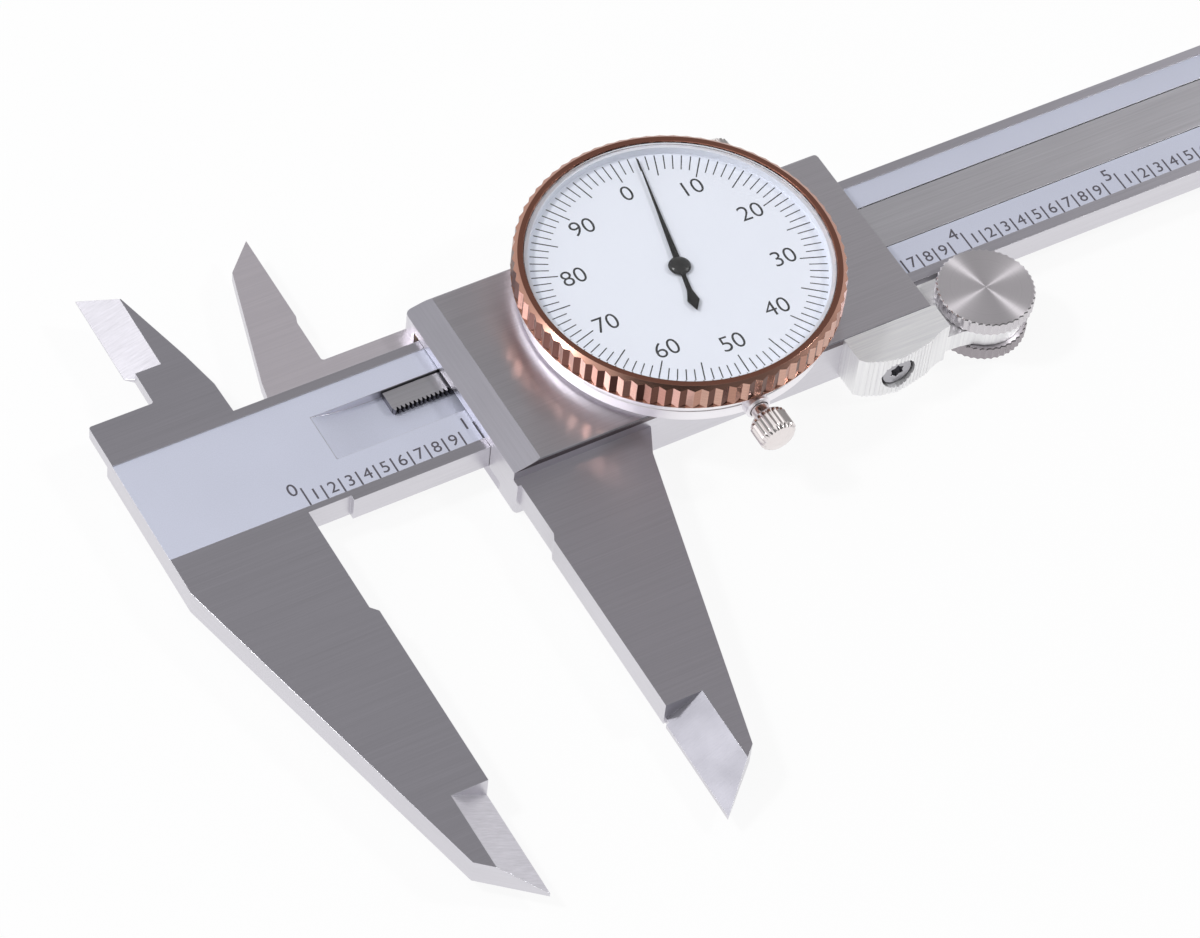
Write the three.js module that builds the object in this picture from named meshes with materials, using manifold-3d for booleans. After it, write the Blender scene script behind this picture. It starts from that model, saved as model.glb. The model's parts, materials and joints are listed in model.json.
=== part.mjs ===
// Dial caliper: 0 to 12 inches, one turn of the pointer for each tenth of an inch.
// Frame: +X along the beam away from the fixed jaw, +Y from the long jaws towards the nibs,
// +Z out of the dial side. The origin is the middle of the fixed jaw's measuring face.
// Until the last lines, the height z = 0 is the beam's front face and y = 0 is its centre line.
// All sizes are in millimetres.
import * as THREE from "three";
import { mergeVertices } from "three/addons/utils/BufferGeometryUtils.js";
import Module from "manifold-3d";

const wasm = await Module();
wasm.setup();

// Measuring
const INCH = 25.4;
const MEASURING_RANGE = 12 * INCH;
const OPENING = 1.003 * INCH; // between the measuring faces, as modelled

// Clearances
const SLIDE_GAP = 0.08; // slider round the beam
const TURN_GAP = 0.06; // shafts in their bores
const FIT_GAP = 0.1; // fixed pieces beside each other
const PASS_GAP = 0.1; // between the two nibs as they pass
const STOP_GAP = 0.3; // left at a stop

// Beam
const BEAM_WIDTH = 20;
const BEAM_THICKNESS = 4;
const BEAM_END = 380;
const LOW_RAIL = 1.7; // dark rail below the scale band
const HIGH_RAIL = 1.45;
const BAND_DEPTH = 0.15;
const SLOT_WIDTH = 7.65;
const SLOT_LIFT = 0.875; // slot's centre above the beam's centre line
const SLOT_DEPTH = 1.6;
const SLOT_START = 16; // full depth from here on
const SLOT_CUTTER_RADIUS = 32; // its run-out rises from the slot's floor to the band

// Head and long jaws
const HEAD_LEFT = -20.3;
const HEAD_RISE = 5.7; // above the beam's upper edge
const HEAD_DROP = 4.2; // below the beam's lower edge
const JAW_REACH = 62.4; // tip below the beam's lower edge
const JAW_BEND = 56; // where the back of the jaw turns to the tip
const JAW_TIP_WIDTH = 7.6;
const FACE_START = 17.1; // measuring face, below the beam's lower edge
const KNIFE_START = 46.1;
const KNIFE_WIDTH = 5.3;
const KNIFE_LAND = 0.7; // flat left at the measuring edge
const FIXED_RELIEF = 0.9;
const MOVING_RELIEF = 0.5;
const RELIEF_RAMP = 1;
const CORNER_NOTCH_LENGTH = 5.3; // relief in the beam's lower edge beside the jaw
const CORNER_NOTCH_DEPTH = 0.8;
const EDGE_NOTCH_WIDTH = 0.7; // nick where the moving jaw's knife begins
const EDGE_NOTCH_DEPTH = 0.35;
const HEAD_CORNER = 0.4;
const HEAD_LOW_CORNER = 0.6;
const JAW_ROOT_DROP = 4; // where the moving jaw's flare begins, below the slider's lower edge
const JAW_ROOT_CORNER = 1.5;

// Nibs, measured from the beam's upper edge
const NIB_EDGE_X = -12;
const NIB_TIP = 27;
const NIB_SHOULDER = 23.5;
const NIB_EDGE_START = 12.2;
const NIB_RELIEF = 1.1;
const MOVING_NIB_RELIEF = 0.35;
const NIB_KNIFE_WIDTH = 4.9;
const NIB_LAND = 0.25;
// Back of the fixed nib: [from its edge, above the beam's upper edge, corner radius]
const NIB_BACK = [
  [9.94, 0],
  [9.75, 5.15],
  [8.4, 11.2, 2],
];
const NIB_SHOULDER_WIDTH = 5.05;
const NIB_CORNER = 0.3;
const NIB_KNIFE_RUN = 1; // fixed nib's knife, below the start of its edge
const MOVING_NIB_SHOULDER = 22.8;
const MOVING_NIB_SHOULDER_WIDTH = 4.2;
const ARM_HEIGHT = 4; // moving nib's arm, above the beam's upper edge
const ARM_LENGTH = 10; // beyond the nib's edge
const ARM_SLOPE = 0.7; // of its far end

// Slider
const SLIDER_LENGTH = 64.1;
const LOW_WALL = 6.2;
const HIGH_WALL = 4.2;
const COVER_HEIGHT = 2.4; // slider's front face above the beam's
const BEVEL_LENGTH = 3.95;
const BEVEL_DROP = 0.95;
const SLIDER_CORNER = 0.8;
const EDGE_ROUND = 0.35; // along the slider's long edges
const LIP_CORNER = 0.6;
const PLATE_THICKNESS = 1.8;
const PLATE_LEDGE = 3; // ledge under the plate's lower edge
const ROOT_LIP = 1.1; // full-depth lip behind the moving jaw's root
const ROOT_LIP_LENGTH = 20;
const MOVING_TIP_WIDTH = 6.9;
const JAW_ROOT_WIDTH = 18.7;
const JAW_ROOT_FLARE = 2;
const GIB_THICKNESS = 1.2;
const GIB_SETBACK = 1;
const GIB_SCREW_RADIUS = 0.8;
const GIB_SCREW_PLACES = [12, 36]; // from the slider's left end
const GIB_SCREW_SLOT = [0.3, 0.6]; // width and depth
const PLATE_SCREW_INSET = 6; // from either end of the slider
const STOP_SCREW_RISE = 3; // above the beam's lower edge
const STOP_SCREW = { head: 2, headHeight: 1.3, shank: 1, length: 2.8 };

// Rack and gear train: 20 teeth of 0.025 inch turn the wheel arbor once in half an inch
const RACK_PITCH = 0.025 * INCH;
const RACK_LEFT = 17.1;
const RACK_SPARE = 5; // past the pinion's last tooth at full opening
const RACK_WIDTH = 3.3;
const RACK_THICKNESS = 1.05;
const RACK_SIDE_GAP = 0.2;
const TOOTH_BACKLASH = 0.09;
const TIP_SHARE = 0.26; // of the pitch
const ROOT_DEPTH = 1.5; // in modules
const TIP_HEIGHT = 0.9; // in modules
const RACK_SCREW_SHARES = [0.05, 0.5, 0.95]; // of the rack's length
const RACK_SCREW = { head: 1.1, headHeight: 0.5, shank: 0.6, length: 2.4 };
const PINION_TEETH = 20;
const WHEEL_TEETH = 60;
const CENTRE_TEETH = 12;
const ARBOR_RADIUS = 0.8;
const PIVOT_RADIUS = 0.5;
const WHEEL_THICKNESS = 0.6;
const BACKLASH_WHEEL_THICKNESS = 0.5;
const WHEEL_SPACING = 0.35; // between the two wheels, for the bow spring
const WHEEL_LIFT = 0.4; // above the case's floor
const WHEEL_SPOKES = 4;
const WHEEL_RIM = 1.5;
const WHEEL_HUB = 1; // wall round the arbor
const SPOKE_HALF_WIDTH = 0.35;
const SPOKE_TURN_OUTER = 9; // degrees that half a spoke takes at the rim
const SPOKE_TURN_INNER = 17; // and at the hub
const BOW_INSET = 1.9; // bow spring, inside the wheel's pitch circle
const BOW_WIDTH = 0.35;
const BOW_START = 60;
const BOW_END = 380;
const BOW_STEPS = 24;
const PINION_FLOAT_LOW = 0.15; // rack pinion above the slot's floor
const PINION_FLOAT_HIGH = 0.35; // and below the beam's front face
const CENTRE_GEAR_SPARE = 0.15; // beyond the wheels on both sides
const BUSH_WALL = 1.1;
const PIVOT_CLEARANCE = 0.3; // round the centre arbor's end, in the slider's face
const PIVOT_HOLE = 0.8;

// Dial: heights are above the slider's front face
const DIAL_X = 33.47; // from the moving jaw's measuring face
const CASE_RADIUS = 21.4;
const CASE_WALL = 1.2;
const CASE_FLOOR = 1;
const CASE_HEIGHT = 4.1;
const CASE_FOOT = 0.5; // chamfer round its foot
const CASE_SCREW_CIRCLE = 12.5;
const CASE_SCREW_ANGLES = [20, 160, 270];
const CASE_SCREW_PROUD = 0.4; // top of the heads, above the case's floor
const CASE_SCREW = { head: 1.5, headHeight: 0.7, shank: 0.8, length: 2.6 };
const BEZEL_OVERHANG = 1.1; // bezel beyond the case
const BEZEL_BOTTOM = 4.2;
const BEZEL_TOP = 8.1;
const BEZEL_CHAMFER = 0.9;
const BEZEL_CHAMFER_HEIGHT = 0.8;
const BEZEL_RIM = 1.65; // from the crystal's edge to the outside
const BEZEL_FLUTES = 75;
const FLUTE_DEPTH = 0.4;
const SKIRT_WALL = 0.6;
const SKIRT_BOTTOM = 2.2;
const SPRING_LOW = 3.1; // spring ring between case and bezel
const SPRING_HIGH = 3.5;
const SPRING_GROOVE = 0.35; // its groove, into the case
const SPRING_PLAY = 0.05;
const FACE_SEAT = 5.5;
const FACE_THICKNESS = 0.5;
const FACE_HOLE_GAP = 0.2;
const CRYSTAL_SEAT = 7.2;
const CRYSTAL_THICKNESS = 0.75;
const SPACER_WALL = 0.55;
const POINTER_SETBACK = 1.55; // from the crystal's edge to the tip
const POINTER_TAIL = 7.8;
const POINTER_LIFT = 0.35; // above the dial's face
// Half of the pointer's outline behind its tip: [from the centre towards the tip, half width]
const POINTER_HALF = [
  [1.2, 0.42],
  [-2, 0.3],
  [-4.6, 0.85],
];
const POINTER_TIP_HALF = 0.06;
const POINTER_TAIL_HALF = 0.08;
const POINTER_THICKNESS = 0.2;
const HUB_RADIUS = 1.5;
const HUB_HEIGHT = 0.6;
const HUB_DROP = 0.02; // below the pointer
const ZERO_ANGLE = 88; // degrees, where the dial's zero stands as modelled
const BRIDGE_BOTTOM = 3.7;
const BRIDGE_THICKNESS = 0.9;
const PILLAR_RADIUS = 1.6;
const PILLAR_CLEARANCE = 2.6; // from the wheel's edge to the middle of the tail pillar
const PILLAR_PLACE = [2.6, 8]; // of the other two, above and below the dial's middle
const BRIDGE_MARGIN = 2.5; // round the pillars
const BRIDGE_CORNER = 2;
const BRIDGE_SCREW = { head: 1.2, headHeight: 0.5, shank: 0.6, length: 2.3 };

// Knobs and screws
const LOCK_INSET = 10.8; // from the slider's right end
const LOCK_KNOB_RADIUS = 2.9;
const LOCK_KNOB_LENGTH = 6.8;
const LOCK_KNOB_STANDOFF = 3.4;
const LOCK_SHANK_RADIUS = 1.4;
const LOCK_TRAVEL_IN = 0.2;
const LOCK_PAD_THICKNESS = 0.8;
const KNOB_RIDGES = 24;
const KNOB_DOME = 0.3;
const SHANK_OVERLAP = 1; // into the knob
const LOCK_KNURL = 0.25;
const LOCK_BEVEL = 0.45;
const CLAMP_OFFSET = -0.5;
const CLAMP_HEIGHT = 1.9;
const CLAMP_KNOB_RADIUS = 2.65;
const CLAMP_KNOB_LENGTH = 3.8;
const CLAMP_STANDOFF = 3;
const CLAMP_SHANK_RADIUS = 1.25;
const CLAMP_BOSS_RADIUS = 1.8;
const CLAMP_BOSS_REACH = 0.2; // beyond the bezel
const CLAMP_PAD_THICKNESS = 0.7;
const CLAMP_KNURL = 0.22;
const CLAMP_BEVEL = 0.5;
const SMALL_SCREW_RADIUS = 0.8;
const SMALL_HEAD_RADIUS = 1.4;
const SMALL_HEAD_HEIGHT = 0.7;
const DEPTH_SCREW = { head: 1.2, headHeight: 0.6, shank: 0.7, length: 3.2 };
const DEPTH_SCREW_START = 4; // from the depth bar's left end
const DEPTH_SCREW_PITCH = 22;

// Thumb bracket and roller
const ROLLER_STANDOFF = 8.6; // centre beyond the slider's right end
const ROLLER_DROP = 6.55; // centre below the beam's lower edge
const ROLLER_RIM_RADIUS = 6.85;
const ROLLER_THICKNESS = 2.15;
const ROLLER_FACE_GAP = 0.15;
const ROLLER_BEVEL = 0.3;
const ROLLER_SEAT = 0.03; // lower disc's gap to the beam's edge
const AXLE_SEAT = 0.05;
const AXLE_DEPTH_LOW = 1.2; // into the lower disc
const AXLE_DEPTH_HIGH = 1.3; // into the upper disc
const ROLLER_KNURLS = 44;
const KNURL_DEPTH = 0.25;
const TONGUE_RADIUS = 5.8;
const TONGUE_THICKNESS = 3.05;
const TONGUE_WAIST = 3.9; // its front edge at the block, below the roller's centre
const TONGUE_WRAP = 132; // degrees that its round end goes past the roller's right side
const TONGUE_FILLET = 1.2;
const AXLE_RADIUS = 1.5;
const BRACKET_LENGTH = 14.3;
const BRACKET_OVERHANG = 0.5; // beyond the slider's right end
const BRACKET_BACK = -4.8;
const BRACKET_RIBS = 17;
const RIB_START = 0.9;
const RIB_PITCH = 0.6;
const RIB_HALF_WIDTH = 0.22;
const RIB_DEPTH = 0.2;
const TONGUE_START = 8; // from the bracket's left end
const BRACKET_CORNER = 4.15; // depth where the tongue's front edge starts
// The bracket's front: [from its left end, below the slider's lower edge]
const BRACKET_PROFILE = [
  [0, 3.9],
  [0.9, 4.8],
  [3, 5.7],
  [5.6, 6.2],
  [7.8, 5.9],
  [10.8, 5.3],
  [11.9, 4.7],
  [13.2, 4.25],
  [BRACKET_LENGTH, BRACKET_CORNER],
];
const BRACKET_SCREW_X = 5.6; // from the bracket's left end
const BRACKET_SCREW_RADIUS = 1.25;
const BRACKET_SCREW_Z = -1.2;
const BRACKET_HOLE_WALL = 1.2; // left between the hole and the beam
const BRACKET_HEAD_RADIUS = 2.2;
const BRACKET_HEAD_DEPTH = 3.2; // its seat, below the slider's lower edge
const BRACKET_HEAD_HEIGHT = 2.2;
const BRACKET_HEAD_GAP = 0.35;
const STAR_POINTS = 6;
const STAR_OUTER = 1.15;
const STAR_INNER = 0.8;
const STAR_DEPTH = 1.2;

// Facets
const CORNER_STEPS = 3;
const RING_SIDES = 48;
const SCREW_SIDES = 10;
const SHAFT_SIDES = 16;
const SHANK_SIDES = 20;
const POST_SIDES = 12;
const BUSH_SIDES = 24;
const SPARE = 1; // how far a cutting tool reaches past what it cuts

// Places worked out from the sizes above
const beamHigh = BEAM_WIDTH / 2;
const beamLow = -BEAM_WIDTH / 2;
const beamBack = -BEAM_THICKNESS;
const beamMiddle = -BEAM_THICKNESS / 2;
const slotHigh = SLOT_LIFT + SLOT_WIDTH / 2;
const slotLow = SLOT_LIFT - SLOT_WIDTH / 2;
const slotFloor = -SLOT_DEPTH;
const toothModule = RACK_PITCH / Math.PI;
const rackBackY = slotHigh - RACK_SIDE_GAP;
const rackTipY = rackBackY - RACK_WIDTH;
const rackTop = slotFloor + RACK_THICKNESS;
const pinionRadius = (PINION_TEETH * toothModule) / 2;
const pinionY = rackTipY + toothModule - pinionRadius;
const wheelRadius = (WHEEL_TEETH * toothModule) / 2;
const centreRadius = (CENTRE_TEETH * toothModule) / 2;
const arborDistance = wheelRadius + centreRadius;
const arborX = -Math.sqrt(arborDistance ** 2 - pinionY ** 2); // from the dial's centre
const sliderHigh = beamHigh + HIGH_WALL;
const sliderLow = beamLow - LOW_WALL;
const plateFront = beamBack - FIT_GAP;
const sliderBack = plateFront - PLATE_THICKNESS;
const gibBack = beamHigh + SLIDE_GAP + GIB_THICKNESS;
const gibPocket = gibBack + FIT_GAP;
const plateLow = beamLow - PLATE_LEDGE;
const jawTip = beamLow - JAW_REACH;
const jawBend = beamLow - JAW_BEND;
const faceStart = beamLow - FACE_START;
const knifeStart = beamLow - KNIFE_START;
const nibTip = beamHigh + NIB_TIP;
const nibShoulder = beamHigh + NIB_SHOULDER;
const nibEdgeStart = beamHigh + NIB_EDGE_START;
const nibHalf = BEAM_THICKNESS / 2 - PASS_GAP / 2;
const armHigh = beamHigh + ARM_HEIGHT;
const pinionX = DIAL_X + arborX; // from the moving jaw's measuring face
const depthBarLeft = pinionX + pinionRadius + 2;
const depthBarTop = -BAND_DEPTH;
const depthBarBottom = slotFloor + FIT_GAP;
const channelLow = slotLow + FIT_GAP;
const channelHigh = rackTipY - FIT_GAP;
const rackRight = MEASURING_RANGE + pinionX + pinionRadius + RACK_SPARE;
const rackTeeth = Math.floor((rackRight - RACK_LEFT) / RACK_PITCH);
const rackLength = rackTeeth * RACK_PITCH;
const rackRoot = rackTipY + (1 + ROOT_DEPTH) * toothModule;
const rackScrewY = (rackRoot + rackBackY) / 2;
const rackScrewXs = RACK_SCREW_SHARES.map((share) => RACK_LEFT + share * rackLength);
const stopX = MEASURING_RANGE + SLIDER_LENGTH + STOP_GAP + STOP_SCREW.head;
const stopY = beamLow + STOP_SCREW_RISE;
const lockX = SLIDER_LENGTH - LOCK_INSET;
const rollerX = SLIDER_LENGTH + ROLLER_STANDOFF;
const rollerY = beamLow - ROLLER_DROP;
const lowerDiscRadius = ROLLER_DROP - ROLLER_SEAT;
const tongueHigh = 0; // level with the beam's front face
const tongueLow = tongueHigh - TONGUE_THICKNESS;
const bracketLeft = SLIDER_LENGTH + BRACKET_OVERHANG - BRACKET_LENGTH;
const caseInner = CASE_RADIUS - CASE_WALL;
const bezelRadius = CASE_RADIUS + BEZEL_OVERHANG;
const glassRadius = bezelRadius - BEZEL_RIM;
const skirtOuter = caseInner - FIT_GAP;
const skirtInner = skirtOuter - SKIRT_WALL;
const clampBossEnd = bezelRadius + CLAMP_BOSS_REACH;
const bridgeTop = BRIDGE_BOTTOM + BRIDGE_THICKNESS;

// A closed outline from corners [x, y] or [x, y, radius]; a radius rounds that corner.
function outline(corners) {
  const points = [];
  corners.forEach(([x, y, radius = 0], i) => {
    const corner = new THREE.Vector2(x, y);
    if (!radius) {
      points.push(corner);
      return;
    }
    const before = corners[(i + corners.length - 1) % corners.length];
    const after = corners[(i + 1) % corners.length];
    const toBefore = new THREE.Vector2(before[0] - x, before[1] - y);
    const toAfter = new THREE.Vector2(after[0] - x, after[1] - y);
    const shortest = Math.min(toBefore.length(), toAfter.length());
    toBefore.normalize();
    toAfter.normalize();
    const half = toBefore.angleTo(toAfter) / 2;
    const run = Math.min(radius / Math.tan(half), 0.48 * shortest);
    const fitted = run * Math.tan(half);
    const middle = toBefore.clone().add(toAfter).normalize();
    const centre = corner.clone().addScaledVector(middle, fitted / Math.sin(half));
    const from = corner.clone().addScaledVector(toBefore, run).sub(centre);
    const turn = Math.atan2(
      from.cross(corner.clone().addScaledVector(toAfter, run).sub(centre)),
      from.dot(corner.clone().addScaledVector(toAfter, run).sub(centre)),
    );
    for (let k = 0; k <= CORNER_STEPS; k++) {
      const angle = (turn * k) / CORNER_STEPS;
      const [c, s] = [Math.cos(angle), Math.sin(angle)];
      points.push(new THREE.Vector2(c * from.x - s * from.y, s * from.x + c * from.y).add(centre));
    }
  });
  return points;
}

// A manifold solid from a closed three.js geometry.
function solid(geometry) {
  const bare = geometry.clone();
  bare.deleteAttribute("normal");
  bare.deleteAttribute("uv");
  const merged = mergeVertices(bare, 1e-4);
  const positions = new Float32Array(merged.attributes.position.array);
  const indices = new Uint32Array(merged.index.array);
  const kept = [];
  for (let i = 0; i < indices.length; i += 3) {
    const [a, b, c] = indices.slice(i, i + 3);
    if (a !== b && b !== c && c !== a) {
      kept.push(a, b, c);
    }
  }
  const make = (triangles) =>
    new wasm.Manifold(
      new wasm.Mesh({ numProp: 3, vertProperties: positions, triVerts: new Uint32Array(triangles) }),
    );
  const made = make(kept);
  return made.volume() < 0 ? make(kept.toReversed()) : made;
}

// A prism over an outline in X and Y, from one height to another.
function plate(corners, low, high) {
  const shape = new THREE.Shape(outline(corners));
  const geometry = new THREE.ExtrudeGeometry(shape, { depth: high - low, bevelEnabled: false });
  return solid(geometry.translate(0, 0, low));
}

// A prism along X over an outline of [y, z] corners.
const ALONG_X = new THREE.Matrix4().makeBasis(
  new THREE.Vector3(0, 1, 0),
  new THREE.Vector3(0, 0, 1),
  new THREE.Vector3(1, 0, 0),
);
function bar(corners, left, right) {
  const shape = new THREE.Shape(outline(corners));
  const geometry = new THREE.ExtrudeGeometry(shape, { depth: right - left, bevelEnabled: false });
  return solid(geometry.translate(0, 0, left).applyMatrix4(ALONG_X));
}

// A prism along Y over an outline of [z, x] corners.
const ALONG_Y = new THREE.Matrix4().makeBasis(
  new THREE.Vector3(0, 0, 1),
  new THREE.Vector3(1, 0, 0),
  new THREE.Vector3(0, 1, 0),
);
function across(corners, low, high) {
  const shape = new THREE.Shape(outline(corners));
  const geometry = new THREE.ExtrudeGeometry(shape, { depth: high - low, bevelEnabled: false });
  return solid(geometry.translate(0, 0, low).applyMatrix4(ALONG_Y));
}

function box(x0, x1, y0, y1, z0, z1) {
  const geometry = new THREE.BoxGeometry(x1 - x0, y1 - y0, z1 - z0);
  return solid(geometry.translate((x0 + x1) / 2, (y0 + y1) / 2, (z0 + z1) / 2));
}

// A body turned about Z from a closed or axis-to-axis profile of [radius, height].
function turned(profile, sides = 32) {
  const points = profile.map(([radius, height]) => new THREE.Vector2(radius, height));
  return solid(new THREE.LatheGeometry(points, sides).rotateX(Math.PI / 2));
}

// The same, turned about the Y axis.
function turnedY(profile, sides = 32) {
  const points = profile.map(([radius, height]) => new THREE.Vector2(radius, height));
  return solid(new THREE.LatheGeometry(points, sides));
}

function disc(radius, low, high, sides = 32) {
  return turned([[0, low], [radius, low], [radius, high], [0, high]], sides);
}

function ring(inner, outer, low, high, sides = RING_SIDES) {
  return turned([[inner, low], [outer, low], [outer, high], [inner, high], [inner, low]], sides);
}

// A straight knurl: a prism whose outline goes in and out.
function ridged(radius, depth, count, low, high) {
  const corners = [];
  for (let i = 0; i < 2 * count; i++) {
    const angle = (Math.PI * i) / count;
    const r = i % 2 ? radius - depth : radius;
    corners.push([r * Math.cos(angle), r * Math.sin(angle)]);
  }
  return plate(corners, low, high);
}

// A spur gear with straight flanks and pointed roots. Tooth 0 points along the given angle.
function gear(teeth, angle, low, high, tipShare = TIP_SHARE) {
  const radius = (teeth * toothModule) / 2;
  const tip = radius + TIP_HEIGHT * toothModule;
  const root = radius - ROOT_DEPTH * toothModule;
  const step = (2 * Math.PI) / teeth;
  const lash = TOOTH_BACKLASH / radius;
  const corners = [];
  for (let i = 0; i < teeth; i++) {
    const middle = angle + i * step;
    const tipHalf = Math.max(0, tipShare * step - lash) / 2;
    corners.push([tip * Math.cos(middle - tipHalf), tip * Math.sin(middle - tipHalf)]);
    if (tipHalf) {
      corners.push([tip * Math.cos(middle + tipHalf), tip * Math.sin(middle + tipHalf)]);
    }
    corners.push([root * Math.cos(middle + step / 2), root * Math.sin(middle + step / 2)]);
  }
  return plate(corners, low, high);
}

// A screw standing along Z with its head's top at height 0 and a driving slot across the head.
function screw({ head, headHeight, shank, length, slot = 0.3 * head }) {
  const body = turned(
    [[0, -length], [shank, -length], [shank, -headHeight], [head, -headHeight], [head, 0], [0, 0]],
    SCREW_SIDES,
  );
  return body.subtract(box(-2 * head, 2 * head, -slot / 2, slot / 2, -0.45 * headHeight, 1));
}

// A countersunk screw, the same way up.
function sunkScrew({ head, headHeight, shank, length, slot = 0.3 * head }) {
  const body = turned(
    [[0, -length], [shank, -length], [shank, -headHeight], [head, 0], [0, 0]],
    SCREW_SIDES,
  );
  return body.subtract(box(-2 * head, 2 * head, -slot / 2, slot / 2, -0.4 * headHeight, 1));
}

// The hole that takes a countersunk screw from height 0 down.
function sunkHole({ head, headHeight, shank, length }) {
  return turned(
    [
      [0, -length - FIT_GAP],
      [shank + FIT_GAP, -length - FIT_GAP],
      [shank + FIT_GAP, -headHeight],
      [head + FIT_GAP, 0],
      [head + FIT_GAP, 1],
      [0, 1],
    ],
    SCREW_SIDES,
  );
}

// The hole that takes a screw with a straight head, open to the given height above it.
function stepHole({ head, headHeight, shank, length }, above) {
  return turned(
    [
      [0, -length - FIT_GAP],
      [shank + FIT_GAP, -length - FIT_GAP],
      [shank + FIT_GAP, -headHeight],
      [head + FIT_GAP, -headHeight],
      [head + FIT_GAP, above],
      [0, above],
    ],
    SCREW_SIDES,
  );
}

// A plain round hole or shaft along Z, at a place in X and Y.
function pin(radius, x, y, low, high, sides = SHAFT_SIDES) {
  return disc(radius, low, high, sides).translate([x, y, 0]);
}

// The same along Y, at a place in X and Z.
function boreY(radius, x, low, high, z, sides = SHAFT_SIDES) {
  return turnedY([[0, low], [radius, low], [radius, high], [0, high]], sides).translate([x, 0, z]);
}

function onCircle(radius, degrees) {
  const angle = THREE.MathUtils.degToRad(degrees);
  return [radius * Math.cos(angle), radius * Math.sin(angle)];
}

// Points on an arc, angles in degrees.
function arc(x, y, radius, from, to, steps) {
  const points = [];
  for (let i = 0; i <= steps; i++) {
    const [dx, dy] = onCircle(radius, from + ((to - from) * i) / steps);
    points.push([x + dx, y + dy]);
  }
  return points;
}

const cutAll = (body, tools) => tools.reduce((rest, tool) => rest.subtract(tool), body);
const addAll = (body, others) => others.reduce((all, one) => all.add(one), body);

const finish = (color, roughness, metalness) =>
  new THREE.MeshStandardMaterial({ color, roughness, metalness });
const STEEL = finish(0x8c8b8e, 0.38, 1);
const DARK_STEEL = finish(0x67666a, 0.42, 1);
const BRIGHT_STEEL = finish(0xc9c8cb, 0.25, 1);
const NICKEL = finish(0xd6d0cb, 0.18, 1);
const ALUMINIUM = finish(0xc4c5c9, 0.4, 1);
const COPPER = finish(0xa9775f, 0.32, 1);
const BRASS = finish(0xc9a35c, 0.35, 1);
const WHITE = finish(0xf0f1f6, 0.6, 0);
const BLACK = finish(0x17181c, 0.4, 0.2);
const CLEAR = new THREE.MeshStandardMaterial({
  color: 0xffffff,
  roughness: 0.05,
  metalness: 0,
  transparent: true,
  opacity: 0.2,
});

// Adds a named piece to a group from its solid.
function place(group, name, body, material, x = 0, y = 0, z = 0) {
  const { numProp, vertProperties, triVerts } = body.getMesh();
  const positions = [];
  for (let i = 0; i < vertProperties.length; i += numProp) {
    positions.push(vertProperties[i], vertProperties[i + 1], vertProperties[i + 2]);
  }
  const geometry = new THREE.BufferGeometry();
  geometry.setAttribute("position", new THREE.Float32BufferAttribute(positions, 3));
  geometry.setIndex(Array.from(triVerts));
  geometry.computeVertexNormals();
  const mesh = new THREE.Mesh(geometry, material);
  mesh.name = name;
  mesh.position.set(x, y, z);
  group.add(mesh);
  return mesh;
}

const caliper = new THREE.Group();
const slider = new THREE.Group();
slider.position.x = OPENING;
const dial = new THREE.Group();
dial.position.set(DIAL_X, 0, COVER_HEIGHT);
slider.add(dial);
caliper.add(slider);

// The wedge that grinds a jaw or nib to a knife edge: it leaves a land at the edge's own face.
// The edge is at x = 0 and the knife runs back along -X; the ground side is +Z.
function knifeWedge(width, thickness, land, low, high) {
  const spare = 2;
  const slope = (thickness - land) / width;
  return across(
    [
      [0, -width],
      [-(thickness - land) - slope * spare, spare],
      [spare, spare],
      [spare, -width],
    ],
    low,
    high,
  );
}

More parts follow.
